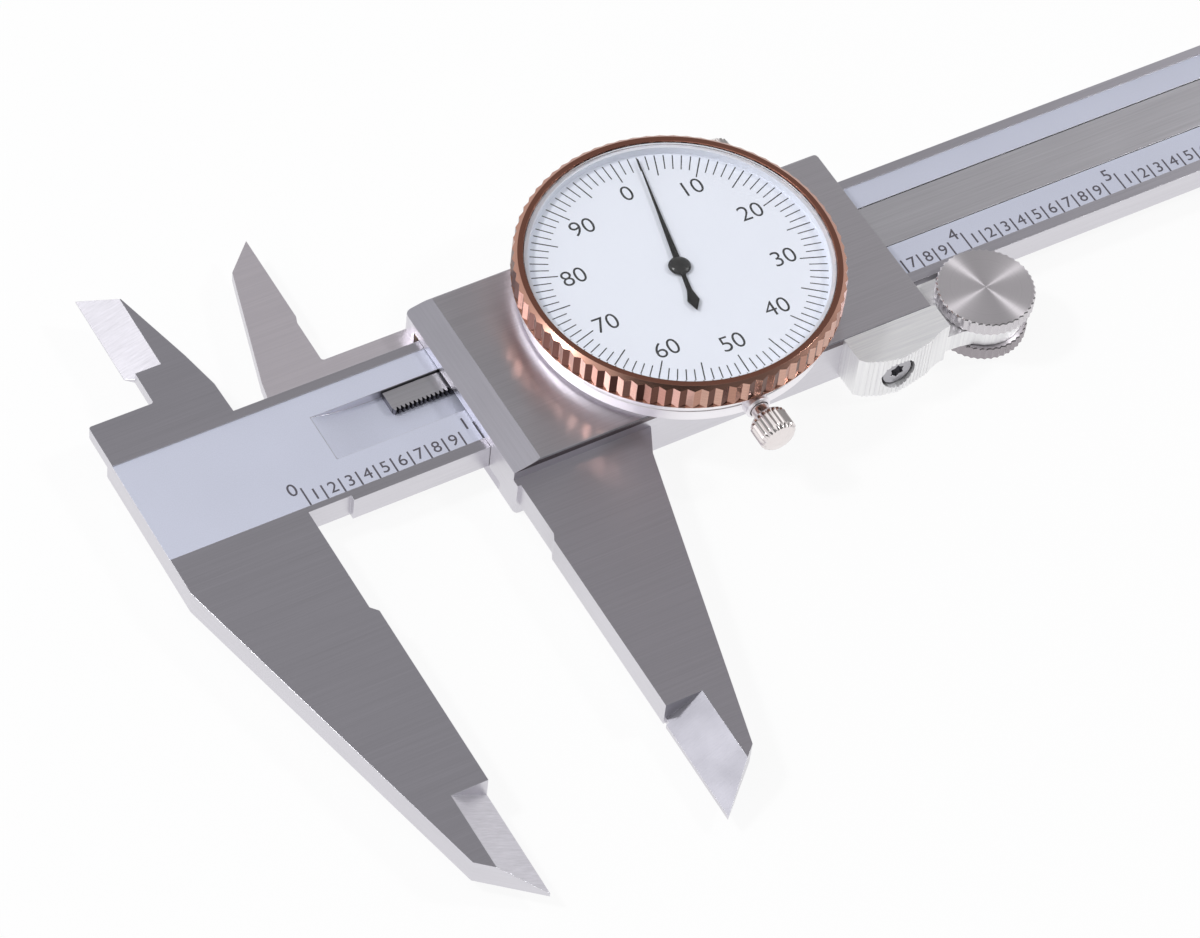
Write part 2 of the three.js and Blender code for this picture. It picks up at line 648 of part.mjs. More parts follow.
// Beam, fixed jaw and fixed nib in one piece.
function makeBeam() {
  const head = beamHigh + HEAD_RISE;
  const body = plate(
    [
      [HEAD_LEFT, head, HEAD_CORNER],
      [HEAD_LEFT, beamLow - HEAD_DROP, HEAD_LOW_CORNER],
      [-JAW_TIP_WIDTH, jawBend],
      [0, jawTip],
      [0, faceStart],
      [-FIXED_RELIEF, faceStart + RELIEF_RAMP],
      [-FIXED_RELIEF, beamLow + CORNER_NOTCH_DEPTH],
      [CORNER_NOTCH_LENGTH, beamLow + CORNER_NOTCH_DEPTH],
      [CORNER_NOTCH_LENGTH, beamLow],
      [BEAM_END, beamLow, HEAD_CORNER],
      [BEAM_END, beamHigh, HEAD_CORNER],
      ...NIB_BACK.map(([x, y, radius]) => [NIB_EDGE_X + x, beamHigh + y, radius]),
      [NIB_EDGE_X + NIB_SHOULDER_WIDTH, nibShoulder],
      [NIB_EDGE_X, nibTip],
      [NIB_EDGE_X, nibEdgeStart],
      [NIB_EDGE_X + NIB_RELIEF, nibEdgeStart - RELIEF_RAMP],
      [NIB_EDGE_X + NIB_RELIEF, head, NIB_CORNER],
    ],
    beamBack,
    0,
  );
  const behindNib = box(
    HEAD_LEFT - SPARE,
    BEAM_END,
    beamHigh + SLIDE_GAP,
    nibTip + SPARE,
    beamBack - SPARE,
    beamMiddle + PASS_GAP / 2,
  );
  const band = box(
    HEAD_LEFT - SPARE,
    BEAM_END + SPARE,
    beamLow + LOW_RAIL,
    beamHigh - HIGH_RAIL,
    -BAND_DEPTH,
    SPARE,
  );
  const slot = box(SLOT_START, BEAM_END + SPARE, slotLow, slotHigh, slotFloor, SPARE);
  const runOut = [];
  const cutterSteps = 8;
  const cutterTurn = Math.acos(1 - SLOT_DEPTH / SLOT_CUTTER_RADIUS);
  for (let k = 0; k <= cutterSteps; k++) {
    const angle = (cutterTurn * k) / cutterSteps;
    runOut.push([
      slotFloor + SLOT_CUTTER_RADIUS * (1 - Math.cos(angle)),
      SLOT_START - SLOT_CUTTER_RADIUS * Math.sin(angle),
    ]);
  }
  const ramp = across(
    [[slotFloor, SLOT_START + SPARE], ...runOut, [SPARE, SLOT_START + SPARE]],
    slotLow,
    slotHigh,
  );
  const knife = jawKnife(jawTip - SPARE, knifeStart);
  const nibKnife = knifeWedge(
    NIB_KNIFE_WIDTH,
    nibHalf,
    NIB_LAND,
    -nibTip - SPARE,
    NIB_KNIFE_RUN - nibEdgeStart,
  )
    .rotate([0, 0, 180])
    .translate([NIB_EDGE_X, 0, 0]);
  const rackHoles = rackScrewXs.map((x) =>
    pin(RACK_SCREW.shank + FIT_GAP, x, rackScrewY, rackTop - RACK_SCREW.length - FIT_GAP, 0),
  );
  const stopHole = pin(
    STOP_SCREW.shank + FIT_GAP,
    stopX,
    stopY,
    beamBack - SPARE,
    beamBack - STOP_SCREW.headHeight + STOP_SCREW.length + FIT_GAP,
  );
  return cutAll(body, [behindNib, band, slot, ramp, knife, nibKnife, ...rackHoles, stopHole]);
}

// Rack: a flat bar with its teeth towards the lower side of the slot.
function makeRack() {
  const corners = [[0, rackBackY]];
  for (let i = 0; i < rackTeeth; i++) {
    corners.push([i * RACK_PITCH, rackRoot]);
    corners.push([(i + 0.5) * RACK_PITCH, rackTipY]);
  }
  corners.push([rackLength, rackRoot], [rackLength, rackBackY]);
  const body = plate(corners, slotFloor, rackTop);
  const holes = rackScrewXs.map((x) =>
    sunkHole(RACK_SCREW).translate([x - RACK_LEFT, rackScrewY, rackTop]),
  );
  return cutAll(body, holes);
}

place(caliper, "beam", makeBeam(), STEEL);
place(caliper, "rack", makeRack(), DARK_STEEL, RACK_LEFT, 0, 0);
["left", "middle", "right"].forEach((side, i) => {
  place(
    caliper,
    "rack_screw_" + side,
    sunkScrew(RACK_SCREW),
    DARK_STEEL,
    rackScrewXs[i],
    rackScrewY,
    rackTop,
  );
});
place(
  caliper,
  "end_stop_screw",
  screw(STOP_SCREW).rotate([180, 0, 0]),
  BRIGHT_STEEL,
  stopX,
  stopY,
  beamBack - STOP_SCREW.headHeight,
);

// Slider: a channel over the beam, with the moving jaw and the moving nib in one piece with it.
const plateScrew = {
  head: SMALL_HEAD_RADIUS,
  headHeight: SMALL_HEAD_HEIGHT,
  shank: SMALL_SCREW_RADIUS,
  length: PLATE_THICKNESS + 2.2,
};
const plateScrewPlaces = [plateLow + beamLow, gibPocket + sliderHigh].flatMap((twice) => [
  [PLATE_SCREW_INSET, twice / 2],
  [SLIDER_LENGTH - PLATE_SCREW_INSET, twice / 2],
]);
const depthScrewXs = [0, 1].map((k) => depthBarLeft + DEPTH_SCREW_START + k * DEPTH_SCREW_PITCH);
const depthScrewY = (channelLow + channelHigh) / 2;
const bushOuter = ARBOR_RADIUS + BUSH_WALL;
const caseScrewPlaces = CASE_SCREW_ANGLES.map((degrees) => onCircle(CASE_SCREW_CIRCLE, degrees));

function jawKnife(low, high) {
  return knifeWedge(KNIFE_WIDTH, BEAM_THICKNESS, KNIFE_LAND, low, high);
}

function makeMovingJaw() {
  const wallInside = beamLow - LOW_WALL / 2;
  const body = plate(
    [
      [0, wallInside],
      [0, sliderLow - ROOT_LIP],
      [MOVING_RELIEF, sliderLow - ROOT_LIP],
      [MOVING_RELIEF, faceStart + RELIEF_RAMP],
      [0, faceStart],
      [0, jawTip],
      [MOVING_TIP_WIDTH, jawBend],
      [JAW_ROOT_WIDTH, sliderLow - JAW_ROOT_DROP],
      [JAW_ROOT_WIDTH + JAW_ROOT_FLARE, sliderLow, JAW_ROOT_CORNER],
      [JAW_ROOT_WIDTH + JAW_ROOT_FLARE, wallInside],
    ],
    beamBack,
    0,
  );
  const knife = jawKnife(-knifeStart, -jawTip + SPARE).rotate([0, 0, 180]);
  const nick = box(
    -SPARE,
    EDGE_NOTCH_DEPTH,
    knifeStart - EDGE_NOTCH_WIDTH,
    knifeStart,
    beamBack - SPARE,
    SPARE,
  );
  return cutAll(body, [knife, nick]);
}

function makeMovingNib() {
  const armLow = beamHigh + 2 * SLIDE_GAP;
  const armRight = GIB_SETBACK - FIT_GAP;
  const back = NIB_EDGE_X - ARM_LENGTH;
  const body = plate(
    [
      [armRight, armHigh],
      [NIB_EDGE_X - MOVING_NIB_RELIEF, armHigh, HEAD_CORNER],
      [NIB_EDGE_X - MOVING_NIB_RELIEF, nibEdgeStart - RELIEF_RAMP],
      [NIB_EDGE_X, nibEdgeStart],
      [NIB_EDGE_X, nibTip],
      [NIB_EDGE_X - MOVING_NIB_SHOULDER_WIDTH, beamHigh + MOVING_NIB_SHOULDER],
      [back + ARM_SLOPE, armHigh],
      [back, armLow, HEAD_CORNER],
      [armRight, armLow],
    ],
    beamBack,
    beamMiddle - PASS_GAP / 2,
  );
  const knife = knifeWedge(NIB_KNIFE_WIDTH, nibHalf, NIB_LAND, -nibTip - SPARE, -nibEdgeStart)
    .rotate([180, 0, 0])
    .translate([NIB_EDGE_X, 0, beamBack]);
  return body.subtract(knife);
}

function makeSliderBody() {
  const section = bar(
    [
      [sliderLow, COVER_HEIGHT, EDGE_ROUND],
      [sliderLow, sliderBack, EDGE_ROUND],
      [plateLow, sliderBack],
      [plateLow, plateFront],
      [beamLow - SLIDE_GAP, plateFront],
      [beamLow - SLIDE_GAP, SLIDE_GAP],
      [gibPocket, SLIDE_GAP],
      [gibPocket, plateFront],
      [sliderHigh, plateFront],
      [sliderHigh, COVER_HEIGHT, EDGE_ROUND],
    ],
    0,
    SLIDER_LENGTH,
  );
  const plan = plate(
    [
      [0, sliderLow - SPARE],
      [SLIDER_LENGTH, sliderLow - SPARE],
      [SLIDER_LENGTH, sliderHigh, SLIDER_CORNER],
      [0, sliderHigh, SLIDER_CORNER],
    ],
    sliderBack - SPARE,
    COVER_HEIGHT + SPARE,
  );
  const lip = plate(
    [
      [0, sliderLow - ROOT_LIP, LIP_CORNER],
      [ROOT_LIP_LENGTH, sliderLow - ROOT_LIP, LIP_CORNER],
      [ROOT_LIP_LENGTH, sliderLow + SPARE],
      [0, sliderLow + SPARE],
    ],
    sliderBack,
    beamBack + SPARE,
  );
  const rise = BEVEL_DROP / BEVEL_LENGTH;
  const bevel = across(
    [
      [COVER_HEIGHT - BEVEL_DROP - rise * SPARE, -SPARE],
      [COVER_HEIGHT + rise * SPARE, BEVEL_LENGTH + SPARE],
      [COVER_HEIGHT + 2 * SPARE, BEVEL_LENGTH + SPARE],
      [COVER_HEIGHT + 2 * SPARE, -SPARE],
    ],
    sliderLow - SPARE,
    sliderHigh + SPARE,
  );
  const plateHoleTop = sliderBack + plateScrew.length + FIT_GAP;
  const depthHoleTop = depthBarBottom + DEPTH_SCREW.length + FIT_GAP;
  const caseHoleBottom = COVER_HEIGHT + CASE_FLOOR - CASE_SCREW.length - FIT_GAP;
  const holes = [
    ...plateScrewPlaces.map(([x, y]) =>
      pin(SMALL_SCREW_RADIUS + FIT_GAP, x, y, plateFront - SPARE, plateHoleTop, SCREW_SIDES),
    ),
    ...GIB_SCREW_PLACES.map((x) =>
      boreY(GIB_SCREW_RADIUS + FIT_GAP, x, gibPocket - SPARE, sliderHigh + SPARE, beamMiddle),
    ),
    boreY(LOCK_SHANK_RADIUS + FIT_GAP, lockX, gibPocket - SPARE, sliderHigh + SPARE, beamMiddle),
    boreY(
      BRACKET_SCREW_RADIUS + FIT_GAP,
      bracketLeft + BRACKET_SCREW_X,
      sliderLow - SPARE,
      beamLow - BRACKET_HOLE_WALL,
      BRACKET_SCREW_Z,
    ),
    ...depthScrewXs.map((x) =>
      pin(DEPTH_SCREW.shank + FIT_GAP, x, depthScrewY, -SPARE, depthHoleTop, SCREW_SIDES),
    ),
    pin(bushOuter + FIT_GAP, pinionX, pinionY, -SPARE, COVER_HEIGHT + SPARE, BUSH_SIDES),
    pin(PIVOT_RADIUS + PIVOT_CLEARANCE, DIAL_X, 0, COVER_HEIGHT - PIVOT_HOLE, COVER_HEIGHT + SPARE),
    ...caseScrewPlaces.map(([x, y]) =>
      pin(
        CASE_SCREW.shank + FIT_GAP,
        DIAL_X + x,
        y,
        caseHoleBottom,
        COVER_HEIGHT + SPARE,
        SCREW_SIDES,
      ),
    ),
  ];
  return cutAll(
    section.intersect(plan).add(lip).subtract(bevel).add(makeMovingJaw()).add(makeMovingNib()),
    holes,
  );
}

place(slider, "slider_body", makeSliderBody(), STEEL);

// Back plate and its screws
function makeBackPlate() {
  const body = plate(
    [
      [0, plateLow + FIT_GAP],
      [SLIDER_LENGTH, plateLow + FIT_GAP],
      [SLIDER_LENGTH, sliderHigh, SLIDER_CORNER],
      [0, sliderHigh, SLIDER_CORNER],
    ],
    sliderBack,
    plateFront,
  );
  const holes = plateScrewPlaces.map(([x, y]) =>
    sunkHole(plateScrew).rotate([180, 0, 0]).translate([x, y, sliderBack]),
  );
  return cutAll(body, holes);
}
place(slider, "back_plate", makeBackPlate(), STEEL);
plateScrewPlaces.forEach(([x, y], i) => {
  place(
    slider,
    "back_plate_screw_" + (i + 1),
    sunkScrew(plateScrew).rotate([180, 0, 0]),
    BRIGHT_STEEL,
    x,
    y,
    sliderBack,
  );
});

// Gib strip and its two set screws
place(
  slider,
  "gib_strip",
  box(
    GIB_SETBACK,
    SLIDER_LENGTH - GIB_SETBACK,
    beamHigh + SLIDE_GAP,
    gibBack,
    beamBack + FIT_GAP,
    -FIT_GAP,
  ),
  BRASS,
);
GIB_SCREW_PLACES.forEach((x, i) => {
  const length = sliderHigh - gibBack - 2 * FIT_GAP;
  const body = boreY(GIB_SCREW_RADIUS, 0, 0, length, 0);
  const [width, depth] = GIB_SCREW_SLOT;
  const slot = box(
    -GIB_SCREW_RADIUS - SPARE,
    GIB_SCREW_RADIUS + SPARE,
    length - depth,
    length + SPARE,
    -width / 2,
    width / 2,
  );
  place(
    slider,
    "gib_screw_" + (i + 1),
    body.subtract(slot),
    DARK_STEEL,
    x,
    gibBack + FIT_GAP,
    beamMiddle,
  );
});

// Depth bar: a rib in the pinion's channel with a thin web over the rack.
function makeDepthBar() {
  const webBottom = rackTop + FIT_GAP;
  const body = bar(
    [
      [channelLow, depthBarBottom],
      [channelHigh, depthBarBottom],
      [channelHigh, webBottom],
      [rackBackY + RACK_SIDE_GAP - FIT_GAP, webBottom],
      [rackBackY + RACK_SIDE_GAP - FIT_GAP, depthBarTop],
      [channelLow, depthBarTop],
    ],
    depthBarLeft,
    BEAM_END,
  );
  const padRight = depthScrewXs[1] + DEPTH_SCREW_START;
  const pad = box(
    depthBarLeft,
    padRight,
    channelLow,
    channelHigh,
    depthBarTop - SLIDE_GAP,
    SLIDE_GAP,
  );
  const holes = depthScrewXs.map((x) =>
    sunkHole(DEPTH_SCREW).rotate([180, 0, 0]).translate([x, depthScrewY, depthBarBottom]),
  );
  return cutAll(body.add(pad), holes);
}
place(slider, "depth_bar", makeDepthBar(), DARK_STEEL);
depthScrewXs.forEach((x, i) => {
  place(
    slider,
    "depth_bar_screw_" + (i + 1),
    sunkScrew(DEPTH_SCREW).rotate([180, 0, 0]),
    DARK_STEEL,
    x,
    depthScrewY,
    depthBarBottom,
  );
});

// Thumb bracket, with the tongue that carries the roller
function bracketDepthAt(x) {
  for (let i = 1; i < BRACKET_PROFILE.length; i++) {
    const [x0, depth0] = BRACKET_PROFILE[i - 1];
    const [x1, depth1] = BRACKET_PROFILE[i];
    if (x <= x1) return depth0 + ((depth1 - depth0) * (x - x0)) / (x1 - x0);
  }
  return BRACKET_PROFILE[BRACKET_PROFILE.length - 1][1];
}

function makeBracket() {
  const front = BRACKET_PROFILE.map(([x, depth]) => [bracketLeft + x, sliderLow - depth]);
  const block = plate(
    [[bracketLeft, sliderLow], ...front, [bracketLeft + BRACKET_LENGTH, sliderLow]],
    BRACKET_BACK,
    COVER_HEIGHT,
  );
  const ribs = [];
  for (let i = 0; i < BRACKET_RIBS; i++) {
    const along = RIB_START + (i + 0.5) * RIB_PITCH;
    const x = bracketLeft + along;
    const y = sliderLow - bracketDepthAt(along);
    ribs.push(
      plate(
        [
          [x - RIB_HALF_WIDTH, y - RIB_DEPTH / 2],
          [x + RIB_HALF_WIDTH, y - RIB_DEPTH / 2],
          [x, y + RIB_DEPTH],
        ],
        BRACKET_BACK - SPARE,
        COVER_HEIGHT + SPARE,
      ),
    );
  }
  const neck = SLIDER_LENGTH + FIT_GAP;
  const waist = rollerY - TONGUE_WAIST;
  const tongue = plate(
    [
      [bracketLeft + TONGUE_START, sliderLow],
      [neck, sliderLow],
      [neck, rollerY + TONGUE_RADIUS, BRACKET_OVERHANG],
      [rollerX, rollerY + TONGUE_RADIUS],
      ...arc(rollerX, rollerY, TONGUE_RADIUS, 80, -TONGUE_WRAP, 14),
      [rollerX - TONGUE_RADIUS, waist, TONGUE_FILLET],
      [bracketLeft + BRACKET_LENGTH, sliderLow - BRACKET_CORNER],
    ],
    tongueLow,
    tongueHigh,
  );
  const screwX = bracketLeft + BRACKET_SCREW_X;
  const mouth = sliderLow - BRACKET_HEAD_DEPTH - 2 * BRACKET_HEAD_HEIGHT;
  return cutAll(addAll(cutAll(block, ribs), [tongue]), [
    pin(AXLE_RADIUS + TURN_GAP, rollerX, rollerY, tongueLow - SPARE, tongueHigh + SPARE, BUSH_SIDES),
    boreY(BRACKET_SCREW_RADIUS + FIT_GAP, screwX, mouth, sliderLow + SPARE, BRACKET_SCREW_Z),
    boreY(
      BRACKET_HEAD_RADIUS + BRACKET_HEAD_GAP,
      screwX,
      mouth,
      sliderLow - BRACKET_HEAD_DEPTH,
      BRACKET_SCREW_Z,
      BUSH_SIDES,
    ),
  ]);
}
place(slider, "thumb_bracket", makeBracket(), ALUMINIUM);

function makeBracketScrew() {
  const seat = sliderLow - BRACKET_HEAD_DEPTH;
  const headTop = seat - BRACKET_HEAD_HEIGHT;
  const end = beamLow - BRACKET_HOLE_WALL - BRACKET_OVERHANG;
  const body = turnedY(
    [
      [0, headTop],
      [BRACKET_HEAD_RADIUS, headTop],
      [BRACKET_HEAD_RADIUS, seat],
      [BRACKET_SCREW_RADIUS, seat],
      [BRACKET_SCREW_RADIUS, end],
      [0, end],
    ],
    BUSH_SIDES,
  );
  const star = [];
  for (let i = 0; i < 2 * STAR_POINTS; i++) {
    star.push(onCircle(i % 2 ? STAR_INNER : STAR_OUTER, (180 / STAR_POINTS) * i));
  }
  return body.subtract(across(star, headTop - SPARE, headTop + STAR_DEPTH));
}
place(
  slider,
  "bracket_screw",
  makeBracketScrew(),
  BRIGHT_STEEL,
  bracketLeft + BRACKET_SCREW_X,
  0,
  BRACKET_SCREW_Z,
);

// Roller: two knurled discs on one axle, above and below the tongue. The lower one runs on the beam's
// lower edge.
const rollerTopLow = tongueHigh + ROLLER_FACE_GAP;
const rollerBottomHigh = tongueLow - ROLLER_FACE_GAP;
const axleLow = rollerBottomHigh - AXLE_DEPTH_LOW;
const axleHigh = rollerTopLow + AXLE_DEPTH_HIGH;
function makeRollerDisc(radius, low) {
  const high = low + ROLLER_THICKNESS;
  const rim = ridged(radius, KNURL_DEPTH, ROLLER_KNURLS, low, high);
  const barrel = turned(
    [
      [0, low],
      [radius - ROLLER_BEVEL, low],
      [radius, low + ROLLER_BEVEL],
      [radius, high - ROLLER_BEVEL],
      [radius - ROLLER_BEVEL, high],
      [0, high],
    ],
    ROLLER_KNURLS,
  );
  const bore = disc(AXLE_RADIUS + AXLE_SEAT, axleLow - FIT_GAP, axleHigh + FIT_GAP, BUSH_SIDES);
  return rim.intersect(barrel).subtract(bore);
}
const topDisc = makeRollerDisc(ROLLER_RIM_RADIUS, rollerTopLow);
const bottomDisc = makeRollerDisc(lowerDiscRadius, rollerBottomHigh - ROLLER_THICKNESS);
const axle = disc(AXLE_RADIUS, axleLow, axleHigh, BUSH_SIDES);
place(slider, "roller_top", topDisc, STEEL, rollerX, rollerY);
place(slider, "roller_bottom", bottomDisc, STEEL, rollerX, rollerY);
place(slider, "roller_axle", axle, BRIGHT_STEEL, rollerX, rollerY);

// Knurled knob along Y: starts at y = 0 and ends at its length, with bevelled ends.
function knob(radius, length, depth, bevel) {
  const rim = ridged(radius, depth, KNOB_RIDGES, 0, length).rotate([-90, 0, 0]);
  const barrel = turnedY(
    [
      [0, 0],
      [radius - bevel, 0],
      [radius, bevel],
      [radius, length - bevel],
      [radius - 1.5 * bevel, length],
      [0, length + KNOB_DOME],
    ],
    KNOB_RIDGES,
  );
  return rim.intersect(barrel);
}

// Lock screw and the pad that it drives on to the gib strip
const lockPadLow = gibBack + LOCK_TRAVEL_IN + FIT_GAP;
const lockPadHigh = lockPadLow + LOCK_PAD_THICKNESS;
const lockKnobLow = sliderHigh + LOCK_KNOB_STANDOFF;
const lockPad = boreY(LOCK_SHANK_RADIUS, 0, lockPadLow, lockPadHigh, 0, SHANK_SIDES);
const lockShank = boreY(
  LOCK_SHANK_RADIUS,
  0,
  lockPadHigh + FIT_GAP,
  lockKnobLow + SHANK_OVERLAP,
  0,
  SHANK_SIDES,
);
const lockKnob = knob(LOCK_KNOB_RADIUS, LOCK_KNOB_LENGTH, LOCK_KNURL, LOCK_BEVEL);
place(slider, "lock_pad", lockPad, BRASS, lockX, 0, beamMiddle);
place(
  slider,
  "lock_screw",
  lockKnob.translate([0, lockKnobLow, 0]).add(lockShank),
  NICKEL,
  lockX,
  0,
  beamMiddle,
);

// Dial case: a cup on the slider's face
const [pillarX, pillarY] = PILLAR_PLACE;
const pillars = [
  [arborX - wheelRadius - PILLAR_CLEARANCE, pinionY],
  [pillarX, pillarY],
  [pillarX, -pillarY],
];

function makeCase() {
  const cup = turned(
    [
      [0, 0],
      [CASE_RADIUS - CASE_FOOT, 0],
      [CASE_RADIUS, CASE_FOOT],
      [CASE_RADIUS, CASE_HEIGHT],
      [caseInner, CASE_HEIGHT],
      [caseInner, SPRING_HIGH + SPRING_PLAY],
      [caseInner + SPRING_GROOVE, SPRING_HIGH + SPRING_PLAY],
      [caseInner + SPRING_GROOVE, SPRING_LOW - SPRING_PLAY],
      [caseInner, SPRING_LOW - SPRING_PLAY],
      [caseInner, CASE_FLOOR],
      [0, CASE_FLOOR],
    ],
    RING_SIDES,
  );
  const posts = pillars.map(([x, y]) =>
    pin(PILLAR_RADIUS, x, y, CASE_FLOOR / 2, BRIDGE_BOTTOM, POST_SIDES),
  );
  const boss = boreY(
    CLAMP_BOSS_RADIUS,
    CLAMP_OFFSET,
    -clampBossEnd,
    -caseInner - CASE_WALL / 4,
    CLAMP_HEIGHT,
    BUSH_SIDES,
  );
  const bridgeHoleLow = bridgeTop - BRIDGE_SCREW.length - FIT_GAP;
  const holes = [
    ...pillars.map(([x, y]) =>
      pin(BRIDGE_SCREW.shank + FIT_GAP, x, y, bridgeHoleLow, bridgeTop, SCREW_SIDES),
    ),
    ...caseScrewPlaces.map(([x, y]) =>
      stepHole(CASE_SCREW, 2 * SPARE).translate([x, y, CASE_FLOOR + CASE_SCREW_PROUD]),
    ),
    pin(bushOuter + FIT_GAP, arborX, pinionY, -SPARE, CASE_FLOOR + SPARE, BUSH_SIDES),
    pin(PIVOT_RADIUS + TURN_GAP, 0, 0, -SPARE, CASE_FLOOR + SPARE),
    boreY(
      CLAMP_SHANK_RADIUS + FIT_GAP,
      CLAMP_OFFSET,
      -clampBossEnd - SPARE,
      -caseInner + SPARE,
      CLAMP_HEIGHT,
      SHANK_SIDES,
    ),
  ];
  return cutAll(addAll(cup, [...posts, boss]), holes);
}
place(dial, "dial_case", makeCase(), BRIGHT_STEEL);
caseScrewPlaces.forEach(([x, y], i) => {
  const height = CASE_FLOOR + CASE_SCREW_PROUD;
  place(dial, "case_screw_" + (i + 1), screw(CASE_SCREW), DARK_STEEL, x, y, height);
});

// Bridge over the gears, on three pillars of the case
function makeBridge() {
  const [tail, upper, lower] = pillars;
  const body = plate(
    [
      [tail[0] - BRIDGE_MARGIN, tail[1], BRIDGE_CORNER],
      [lower[0] - 1, lower[1] - BRIDGE_MARGIN, BRIDGE_CORNER],
      [lower[0] + BRIDGE_MARGIN, lower[1] - 1, BRIDGE_CORNER],
      [upper[0] + BRIDGE_MARGIN, upper[1] + 1, BRIDGE_CORNER],
      [upper[0] - 1, upper[1] + BRIDGE_MARGIN, BRIDGE_CORNER],
    ],
    BRIDGE_BOTTOM,
    bridgeTop,
  );
  const holes = [
    ...pillars.map(([x, y]) => sunkHole(BRIDGE_SCREW).translate([x, y, bridgeTop])),
    pin(PIVOT_RADIUS + TURN_GAP, 0, 0, BRIDGE_BOTTOM - SPARE, bridgeTop + SPARE),
    pin(PIVOT_RADIUS + TURN_GAP, arborX, pinionY, BRIDGE_BOTTOM - SPARE, bridgeTop + SPARE),
  ];
  return cutAll(body, holes);
}
place(dial, "bridge_plate", makeBridge(), BRASS);
pillars.forEach(([x, y], i) => {
  place(dial, "bridge_screw_" + (i + 1), sunkScrew(BRIDGE_SCREW), DARK_STEEL, x, y, bridgeTop);
});

// Gear train
const pinionLow = slotFloor + PINION_FLOAT_LOW - COVER_HEIGHT;
const pinionHigh = -PINION_FLOAT_HIGH - COVER_HEIGHT;
const wheelLow = CASE_FLOOR + WHEEL_LIFT;
const wheelHigh = wheelLow + WHEEL_THICKNESS;
const backlashLow = wheelHigh + WHEEL_SPACING;
const backlashHigh = backlashLow + BACKLASH_WHEEL_THICKNESS;
const rackPhase = (OPENING + pinionX - RACK_LEFT) / RACK_PITCH;
const pinionAngle = Math.PI / 2 + (rackPhase * 2 * Math.PI) / PINION_TEETH;
const wheelAngle = Math.atan2(-pinionY, -arborX);
const centreAngle = wheelAngle + Math.PI + Math.PI / CENTRE_TEETH;

const rackPinion = addAll(gear(PINION_TEETH, pinionAngle, pinionLow, pinionHigh), [
  disc(ARBOR_RADIUS, pinionLow, BRIDGE_BOTTOM - 2 * FIT_GAP, SHANK_SIDES),
  disc(PIVOT_RADIUS, pinionLow, bridgeTop - FIT_GAP, SHAFT_SIDES),
]);
const pinionBush = ring(
  ARBOR_RADIUS + TURN_GAP,
  bushOuter,
  SLIDE_GAP - COVER_HEIGHT,
  CASE_FLOOR,
  BUSH_SIDES,
);
place(dial, "rack_pinion", rackPinion, BRIGHT_STEEL, arborX, pinionY);
place(dial, "pinion_bush", pinionBush, BRASS, arborX, pinionY);

function makeWheel(low, high) {
  const rimInner = wheelRadius - WHEEL_RIM;
  const hub = ARBOR_RADIUS + WHEEL_HUB;
  const quarter = 360 / WHEEL_SPOKES;
  const outerSpread = quarter / 2 - SPOKE_TURN_OUTER;
  const innerSpread = quarter / 2 - SPOKE_TURN_INNER;
  const windows = [];
  for (let i = 0; i < WHEEL_SPOKES; i++) {
    windows.push(
      plate(
        [
          ...arc(0, 0, rimInner, -outerSpread, outerSpread, 5),
          ...arc(0, 0, hub + 2 * SPOKE_HALF_WIDTH, innerSpread, -innerSpread, 3),
        ],
        low - SPARE,
        high + SPARE,
      ).rotate([0, 0, (i + 0.5) * quarter]),
    );
  }
  return cutAll(gear(WHEEL_TEETH, wheelAngle, low, high, 0), [
    ...windows,
    disc(ARBOR_RADIUS + AXLE_SEAT, low - SPARE, high + SPARE, SHANK_SIDES),
  ]);
}
place(dial, "main_wheel", makeWheel(wheelLow, wheelHigh), BRASS, arborX, pinionY);
place(dial, "backlash_wheel", makeWheel(backlashLow, backlashHigh), BRASS, arborX, pinionY);

// Bow spring between the two wheels
function makeBacklashSpring() {
  const outer = wheelRadius - BOW_INSET;
  const inner = outer - BOW_WIDTH;
  return plate(
    [
      ...arc(0, 0, outer, BOW_START, BOW_END, BOW_STEPS),
      ...arc(0, 0, inner, BOW_END, BOW_START, BOW_STEPS),
    ],
    wheelHigh + SPRING_PLAY,
    backlashLow - SPRING_PLAY,
  );
}
place(dial, "backlash_spring", makeBacklashSpring(), BRIGHT_STEEL, arborX, pinionY);

// Centre arbor with its pinion, and the pointer on it
const faceTop = FACE_SEAT + FACE_THICKNESS;
const pointerLow = faceTop + POINTER_LIFT;
const pointerHigh = pointerLow + POINTER_THICKNESS;
const centreGear = gear(
  CENTRE_TEETH,
  centreAngle,
  wheelLow - CENTRE_GEAR_SPARE,
  backlashHigh + CENTRE_GEAR_SPARE,
);
const centreArbor = addAll(centreGear, [
  disc(ARBOR_RADIUS, CASE_FLOOR + FIT_GAP, BRIDGE_BOTTOM - FIT_GAP, SHAFT_SIDES),
  disc(PIVOT_RADIUS, FIT_GAP, pointerLow - HUB_DROP - SPRING_PLAY, SHAFT_SIDES),
]);
place(dial, "centre_arbor", centreArbor, BRIGHT_STEEL);

function makePointer() {
  const angle = ZERO_ANGLE - ((360 * OPENING) / (INCH / 10)) % 360;
  const half = [
    [glassRadius - POINTER_SETBACK, POINTER_TIP_HALF],
    ...POINTER_HALF,
    [-POINTER_TAIL, POINTER_TAIL_HALF],
  ];
  const needle = plate(
    [...half, ...half.toReversed().map(([x, y]) => [x, -y])],
    pointerLow,
    pointerHigh,
  );
  const hub = turned(
    [
      [0, pointerLow - HUB_DROP],
      [HUB_RADIUS, pointerLow - HUB_DROP],
      [HUB_RADIUS, pointerHigh + HUB_HEIGHT / 6],
      [0.8 * HUB_RADIUS, pointerLow + 0.8 * HUB_HEIGHT],
      [0, pointerLow + HUB_HEIGHT],
    ],
    BUSH_SIDES,
  );
  return needle.add(hub).rotate([0, 0, angle]);
}
place(dial, "pointer", makePointer(), BLACK);

